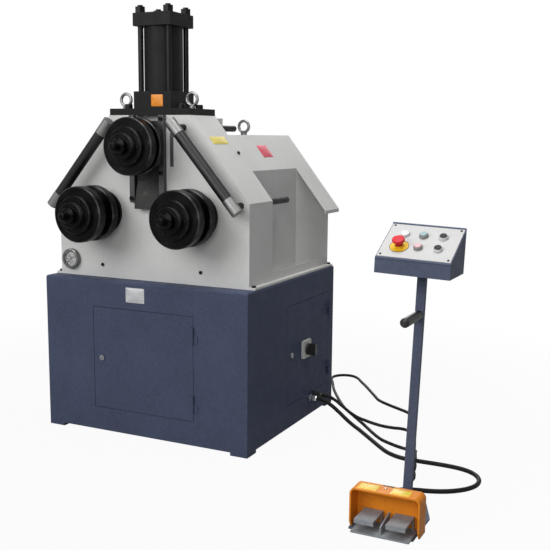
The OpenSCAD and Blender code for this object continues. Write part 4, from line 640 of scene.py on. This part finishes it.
# Profiles: radius, height and, where a row is ribbed, the share of the ribs
GLAND_BODY = ((0.0, 0.0), (0.0134, 0.0), (0.0136, 0.0006), (0.0136, 0.0112), (0.0130, 0.0120),
              (0.0, 0.0120))
GLAND_NUT = ((0.0, 0.0121), (0.0108, 0.0121), (0.0112, 0.0126), (0.0112, 0.0150, 1.0),
             (0.0112, 0.0300, 1.0), (0.0109, 0.0345, 0.6), (0.0104, 0.0380), (0.0094, 0.0400),
             (0.0, 0.0400))
BUSH = ((0.0, 0.0), (0.0090, 0.0), (0.0092, 0.0012), (0.0088, 0.0026), (0.0078, 0.0034),
        (0.0080, 0.0064), (0.0074, 0.0080), (0.0, 0.0080))
CABINET_SIDE_X, GUARD_BACK_Y, POST_BACK_Y = 0.458, -0.727, -0.521
BUSH_SPOTS = ((1.11367, 0.100), (1.11257, 0.070), (1.11477, 0.130))


def relief_sleeve(name, path, cable_r, exit_r, reach):
    """Tapered rubber sleeve on a cable's first stretch: its radius falls from exit_r to just over
    the cable's along the path, with shallow rings in it by a cosine of the distance."""
    run = along(path)
    near = run <= reach
    share = np.linspace(0.0, 1.0, SLEEVE_ROWS)
    part = np.stack([np.interp(share, run[near] / run[near][-1], path[near, k]) for k in range(3)],
                    axis=1)
    taper = exit_r + (cable_r + SLEEVE_WALL - exit_r) * share
    ringed = taper + RING_DEPTH * np.cos(2.0 * np.pi * SLEEVE_RINGS * share)
    return skin(name, [tube(part, ringed, SLEEVE_SIDES)], rubber)


def floor_cable(name, route, radius, replaced, sleeves):
    """A cable's round section along its smoothed route, with a tapered sleeve at each end: the
    sleeves give the end, the radius where the cable comes out and the length."""
    path = smooth_route(route)
    piece = skin(name, [tube(path, radius)], rubber)
    extras = [relief_sleeve(f"{name}_{end}_sleeve", path if end == "near" else path[::-1], radius,
                            exit_r, reach) for end, exit_r, reach in sleeves]
    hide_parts(replaced)


def gland(name, foot, axis, finish):
    """Cable gland: a hexagon body against the wall, then a fluted nut that closes on the cable."""
    body = turned(GLAND_BODY, foot, axis, 60, flats=6)
    nut = turned(GLAND_NUT, foot, axis, 120, ribs=20, depth=0.025)
    piece = skin(name, [body, nut], finish)
    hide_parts("cable_glands")


floor_cable("foot_switch_lead", PEDAL_ROUTE, FOOT_LEAD_R, "pedal_cable",
            (("near", 0.0100, 0.050), ("far", 0.0100, 0.050)))
floor_cable("control_lead", CONTROL_ROUTE, CONTROL_LEAD_R, "control_cable",
            (("near", 0.0094, 0.050), ("far", 0.0084, 0.040)))
floor_cable("loop_lead", LOOP_ROUTE, CONTROL_LEAD_R, "loop_cable",
            (("near", 0.0084, 0.040), ("far", 0.0084, 0.040)))

gland("foot_lead_gland", (CABINET_SIDE_X, 0.149, 0.090), LEFT_TO_RIGHT, bright_steel)
gland("control_lead_gland", (CABINET_SIDE_X, 0.203, 0.090), LEFT_TO_RIGHT, black_plastic)
gland("guard_gland", (1.055, GUARD_BACK_Y, 0.045), FRONT_TO_BACK, black_plastic)
bushes = skin("post_bushes", [turned(BUSH, (x, POST_BACK_Y, z), FRONT_TO_BACK, 40)
                              for x, z in BUSH_SPOTS], rubber)
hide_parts("cable_glands")

# ---------------------------------------------------------------- plates on cabinet, frame and hood

CABINET_FACE_Y, FRAME_FACE_Y = -0.406, -0.341
SLOPE_UP = np.array((-0.618, 0.0, 0.786))

NAME_X, NAME_Z, NAME_WIDTH, NAME_HEIGHT = -0.0295, 0.570, 0.085, 0.058
RIVET = ((0.0, 0.0010), (0.0022, 0.0010), (0.0021, 0.0016), (0.0013, 0.0023), (0.0, 0.0026))
RIVET_X, RIVET_Z = 0.037, 0.0235
name_plate = [plate((NAME_X, CABINET_FACE_Y, NAME_Z), LEFT_TO_RIGHT, UPWARDS, NAME_WIDTH,
                    NAME_HEIGHT, 0.0012, 0.004, 0.0004)]
name_plate += [turned(RIVET, (NAME_X + x, CABINET_FACE_Y, NAME_Z + z), -FRONT_TO_BACK, 24)
               for x in (-RIVET_X, RIVET_X) for z in (-RIVET_Z, RIVET_Z)]
skin("blank_plate", name_plate, name_steel)

SCALE_THICK = 0.0014
MARK_END_X, FIRST_MARK_Z, MARK_PITCH = 0.1072, 1.0680, 0.0047
MARK_LENGTHS = ([0.0105] + [0.006] * 4) * 5
skin("slide_scale", [plate((0.1015, FRAME_FACE_Y, 1.1245), LEFT_TO_RIGHT, UPWARDS, 0.015, 0.125,
                           SCALE_THICK, 0.001, 0.0003)], scale_steel)
skin("slide_scale_marks",
     [bar((MARK_END_X - wide / 2.0, FRAME_FACE_Y - SCALE_THICK, FIRST_MARK_Z + MARK_PITCH * k),
          LEFT_TO_RIGHT, UPWARDS, wide, 0.0009, 0.00015) for k, wide in enumerate(MARK_LENGTHS)],
     mark_ink)

# Thin blank plates: centre, way across, way up, width and height, then finish and slot
for name, spot, finish, slot in (
        ("frame_slope_plate", ((0.2523, -0.2485, 1.161), FRONT_TO_BACK, SLOPE_UP, 0.115, 0.0356),
         pale_yellow, "yellow_plate"),
        ("hood_slope_plate", ((0.2865, 0.0665, 1.1175), FRONT_TO_BACK, SLOPE_UP, 0.085, 0.0598),
         red_plate, "red_plastic"),
        ("cylinder_head_plate", ((0.022, -0.316, 1.308), LEFT_TO_RIGHT, UPWARDS, 0.052, 0.044),
         orange_plate, "yellow_plate")):
    skin(name, [plate(*spot, 0.0008, 0.003, 0.0003)], finish)

# ---------------------------------------------------------------- pressure gauge

GAUGE = np.array((-0.374, -0.350, 0.685))
DIAL = ((0.0017, 0.0), (0.0294, 0.0), (0.0296, 0.0001), (0.0294, 0.0002), (0.0017, 0.0002),
        (0.0017, 0.0))
GAUGE_RING = ((0.0361, -0.0085), (0.0402, -0.0085), (0.0405, -0.0075), (0.0405, 0.0040),
              (0.0398, 0.0072), (0.0382, 0.0092), (0.0361, 0.0098), (0.0361, -0.0085))
WINDOW = ((0.0, 0.0062), (0.0290, 0.0058), (0.0297, 0.0064), (0.0290, 0.0072), (0.0, 0.0078))
DIAL_THICK, TICK_REACH, TICK_WIDTH = 0.0002, 0.0272, 0.0007
TICK_LENGTHS = ([0.0050] + [0.0028] * 4) * 6 + [0.0050]

skin("gauge_dial", [turned(DIAL, GAUGE, -FRONT_TO_BACK, 72)], dial_paper)
skin("gauge_bezel", [turned(GAUGE_RING, GAUGE, -FRONT_TO_BACK, 96)], case_steel)
sweep = np.radians(np.linspace(225.0, -45.0, len(TICK_LENGTHS)))
rays = np.stack((np.cos(sweep), 0.0 * sweep, np.sin(sweep)), axis=1)
skin("gauge_marks",
     [bar(GAUGE + ray * (TICK_REACH - size / 2.0) - DIAL_THICK * FRONT_TO_BACK,
          np.cross(ray, FRONT_TO_BACK), ray, TICK_WIDTH, size, 0.00008)
      for ray, size in zip(rays, TICK_LENGTHS)], mark_ink)
skin("gauge_window", [turned(WINDOW, GAUGE, -FRONT_TO_BACK, 72)], glass)

# ---------------------------------------------------------------- console

# The console's sizes in the CAD, and from them the panel's near left corner and its axes
POST_X, POST_Y, POST_LENGTH, POST_LEAN = 1.110, -0.530, 0.767, math.radians(2.1)
CONSOLE_BACK, CONSOLE_DEPTH, CONSOLE_FRONT_H, CONSOLE_BACK_H = 0.039, 0.160, 0.048, 0.138
PANEL_WIDTH, PANEL_RIM, PANEL_THICK = 0.230, 0.006, 0.002
PANEL_TILT = math.atan2(CONSOLE_BACK_H - CONSOLE_FRONT_H, CONSOLE_DEPTH)
PANEL_LENGTH = CONSOLE_DEPTH / math.cos(PANEL_TILT) - 2.0 * PANEL_RIM
ACROSS = np.array((math.cos(POST_LEAN), 0.0, -math.sin(POST_LEAN)))
POST_UP = np.array((math.sin(POST_LEAN), 0.0, math.cos(POST_LEAN)))
SLOPE = math.cos(PANEL_TILT) * FRONT_TO_BACK + math.sin(PANEL_TILT) * POST_UP
FACE = np.cross(ACROSS, SLOPE)
PANEL_CORNER = (np.array((POST_X, POST_Y + CONSOLE_BACK - CONSOLE_DEPTH, 0.0))
                + (POST_LENGTH + CONSOLE_FRONT_H) * POST_UP - PANEL_WIDTH / 2.0 * ACROSS
                + PANEL_RIM * SLOPE + PANEL_THICK * FACE)
EDGE_HALF = 0.1174


def panel_spot(column, row):
    """Point on the panel: its corner + a share of its width across + a share of its length up."""
    return PANEL_CORNER + column * PANEL_WIDTH * ACROSS + row * PANEL_LENGTH * SLOPE


def rolled_edge(name, middle, radius):
    """Rolled sheet edge: a round bead on a straight path across the console through the edge's
    middle."""
    path = np.asarray(middle) + np.linspace(-EDGE_HALF, EDGE_HALF, 9)[:, None] * ACROSS
    skin(name, [tube(path, radius, 24)], stand_paint)


NEAR_ROW, FAR_ROW = 0.32, 0.68
LEFT_COLUMN, MIDDLE_COLUMN, RIGHT_COLUMN = 0.24, 0.5, 0.77
STOP_AT, LAMP_AT = panel_spot(LEFT_COLUMN, NEAR_ROW), panel_spot(LEFT_COLUMN, FAR_ROW)

MUSHROOM = ((0.0, 0.0016), (0.0090, 0.0016), (0.0090, 0.0150), (0.0125, 0.0160), (0.0160, 0.0180),
            (0.0188, 0.0210), (0.0199, 0.0242), (0.0196, 0.0272), (0.0182, 0.0294),
            (0.0150, 0.0308), (0.0100, 0.0314), (0.0, 0.0315))
STOP_COLLAR = ((0.0112, 0.0016), (0.0150, 0.0016), (0.0150, 0.0050, 1.0), (0.0146, 0.0062),
               (0.0112, 0.0062), (0.0112, 0.0016))
STOP_RIM = ((0.0285, 0.0014), (0.0301, 0.0014), (0.0301, 0.0017), (0.0298, 0.0019),
            (0.0288, 0.0019), (0.0285, 0.0014))
LENS = ((0.0, 0.0), (0.0100, 0.0), (0.0100, 0.0040), (0.0134, 0.0044, 1.0), (0.0136, 0.0070, 1.0),
        (0.0126, 0.0092, 0.5), (0.0098, 0.0104), (0.0052, 0.0110), (0.0, 0.0112))
LENS_BEZEL = ((0.0106, 0.0), (0.0150, 0.0), (0.0150, 0.0026), (0.0144, 0.0036), (0.0106, 0.0036),
              (0.0106, 0.0))
BUTTON_RIM = ((0.0113, 0.0), (0.0145, 0.0), (0.0145, 0.0012), (0.0143, 0.0022, 1.0),
              (0.0139, 0.0074, 1.0), (0.0134, 0.0090), (0.0126, 0.0099), (0.0118, 0.0099),
              (0.0113, 0.0090), (0.0113, 0.0))
CAP = ((0.0, 0.0020), (0.0108, 0.0020), (0.0108, 0.0118), (0.0105, 0.0126), (0.0096, 0.0130),
       (0.0060, 0.0132), (0.0, 0.0133))

rolled_edge("console_back_edge", (1.14316, -0.4940, 0.9044), 0.0038)
rolled_edge("console_front_edge", (1.13986, -0.6492, 0.8132), 0.0036)

mushroom = skin("stop_mushroom", [turned(MUSHROOM, STOP_AT, FACE, 72)], red_plastic,
                "estop")
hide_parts("estop_button")
skin("stop_collar", [turned(STOP_COLLAR, STOP_AT, FACE, 96, ribs=24, depth=0.02)], yellow_plate)
skin("stop_plate_rim", [turned(STOP_RIM, STOP_AT, FACE, 96)], black_plastic)

lens = skin("pilot_lens", [turned(LENS, LAMP_AT, FACE, 96, ribs=16, depth=0.02)], lamp_plastic)
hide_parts("pilot_lamp")
skin("pilot_bezel", [turned(LENS_BEZEL, LAMP_AT, FACE, 72)], pale_rims)

for label, column, row, finish, slot, ring in (
        ("stop", MIDDLE_COLUMN, NEAR_ROW, pink_plastic, "pink_plastic", grey_rims),
        ("start", MIDDLE_COLUMN, FAR_ROW, green_plastic, "green_plastic", grey_rims),
        ("lower", RIGHT_COLUMN, NEAR_ROW, dark_caps, "black_plastic", pale_rims),
        ("raise", RIGHT_COLUMN, FAR_ROW, dark_caps, "black_plastic", pale_rims)):
    spot = panel_spot(column, row)
    cap = skin(label + "_cap", [turned(CAP, spot, FACE, 64)], finish, label)
    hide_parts(label + "_button")
    rim = skin(label + "_rim", [turned(BUTTON_RIM, spot, FACE, 128, ribs=32, depth=0.012)], ring)
    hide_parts("button_bezels")

# ---------------------------------------------------------------- foot switch

GUARD_TOP_Z = 0.131
SCREW = ((0.0, 0.0), (0.0042, 0.0), (0.0042, 0.0010), (0.0034, 0.0022), (0.0016, 0.0029),
         (0.0, 0.0030))
for side, x in (("left", 1.061), ("right", 1.1635)):
    skin(f"guard_{side}_patch", [plate((x, -0.762, GUARD_TOP_Z), LEFT_TO_RIGHT, FRONT_TO_BACK,
                                       0.060, 0.044, 0.0005, 0.003, 0.0002)],
         patch_yellow)
skin("guard_back_plate", [plate((1.1135, -0.7315, GUARD_TOP_Z), LEFT_TO_RIGHT, FRONT_TO_BACK,
                                0.036, 0.0075, 0.0008, 0.001, 0.0002)],
     black_plastic)
skin("guard_screw", [turned(SCREW, (1.112, -0.753, GUARD_TOP_Z), UPWARDS, 32)], bright_steel)
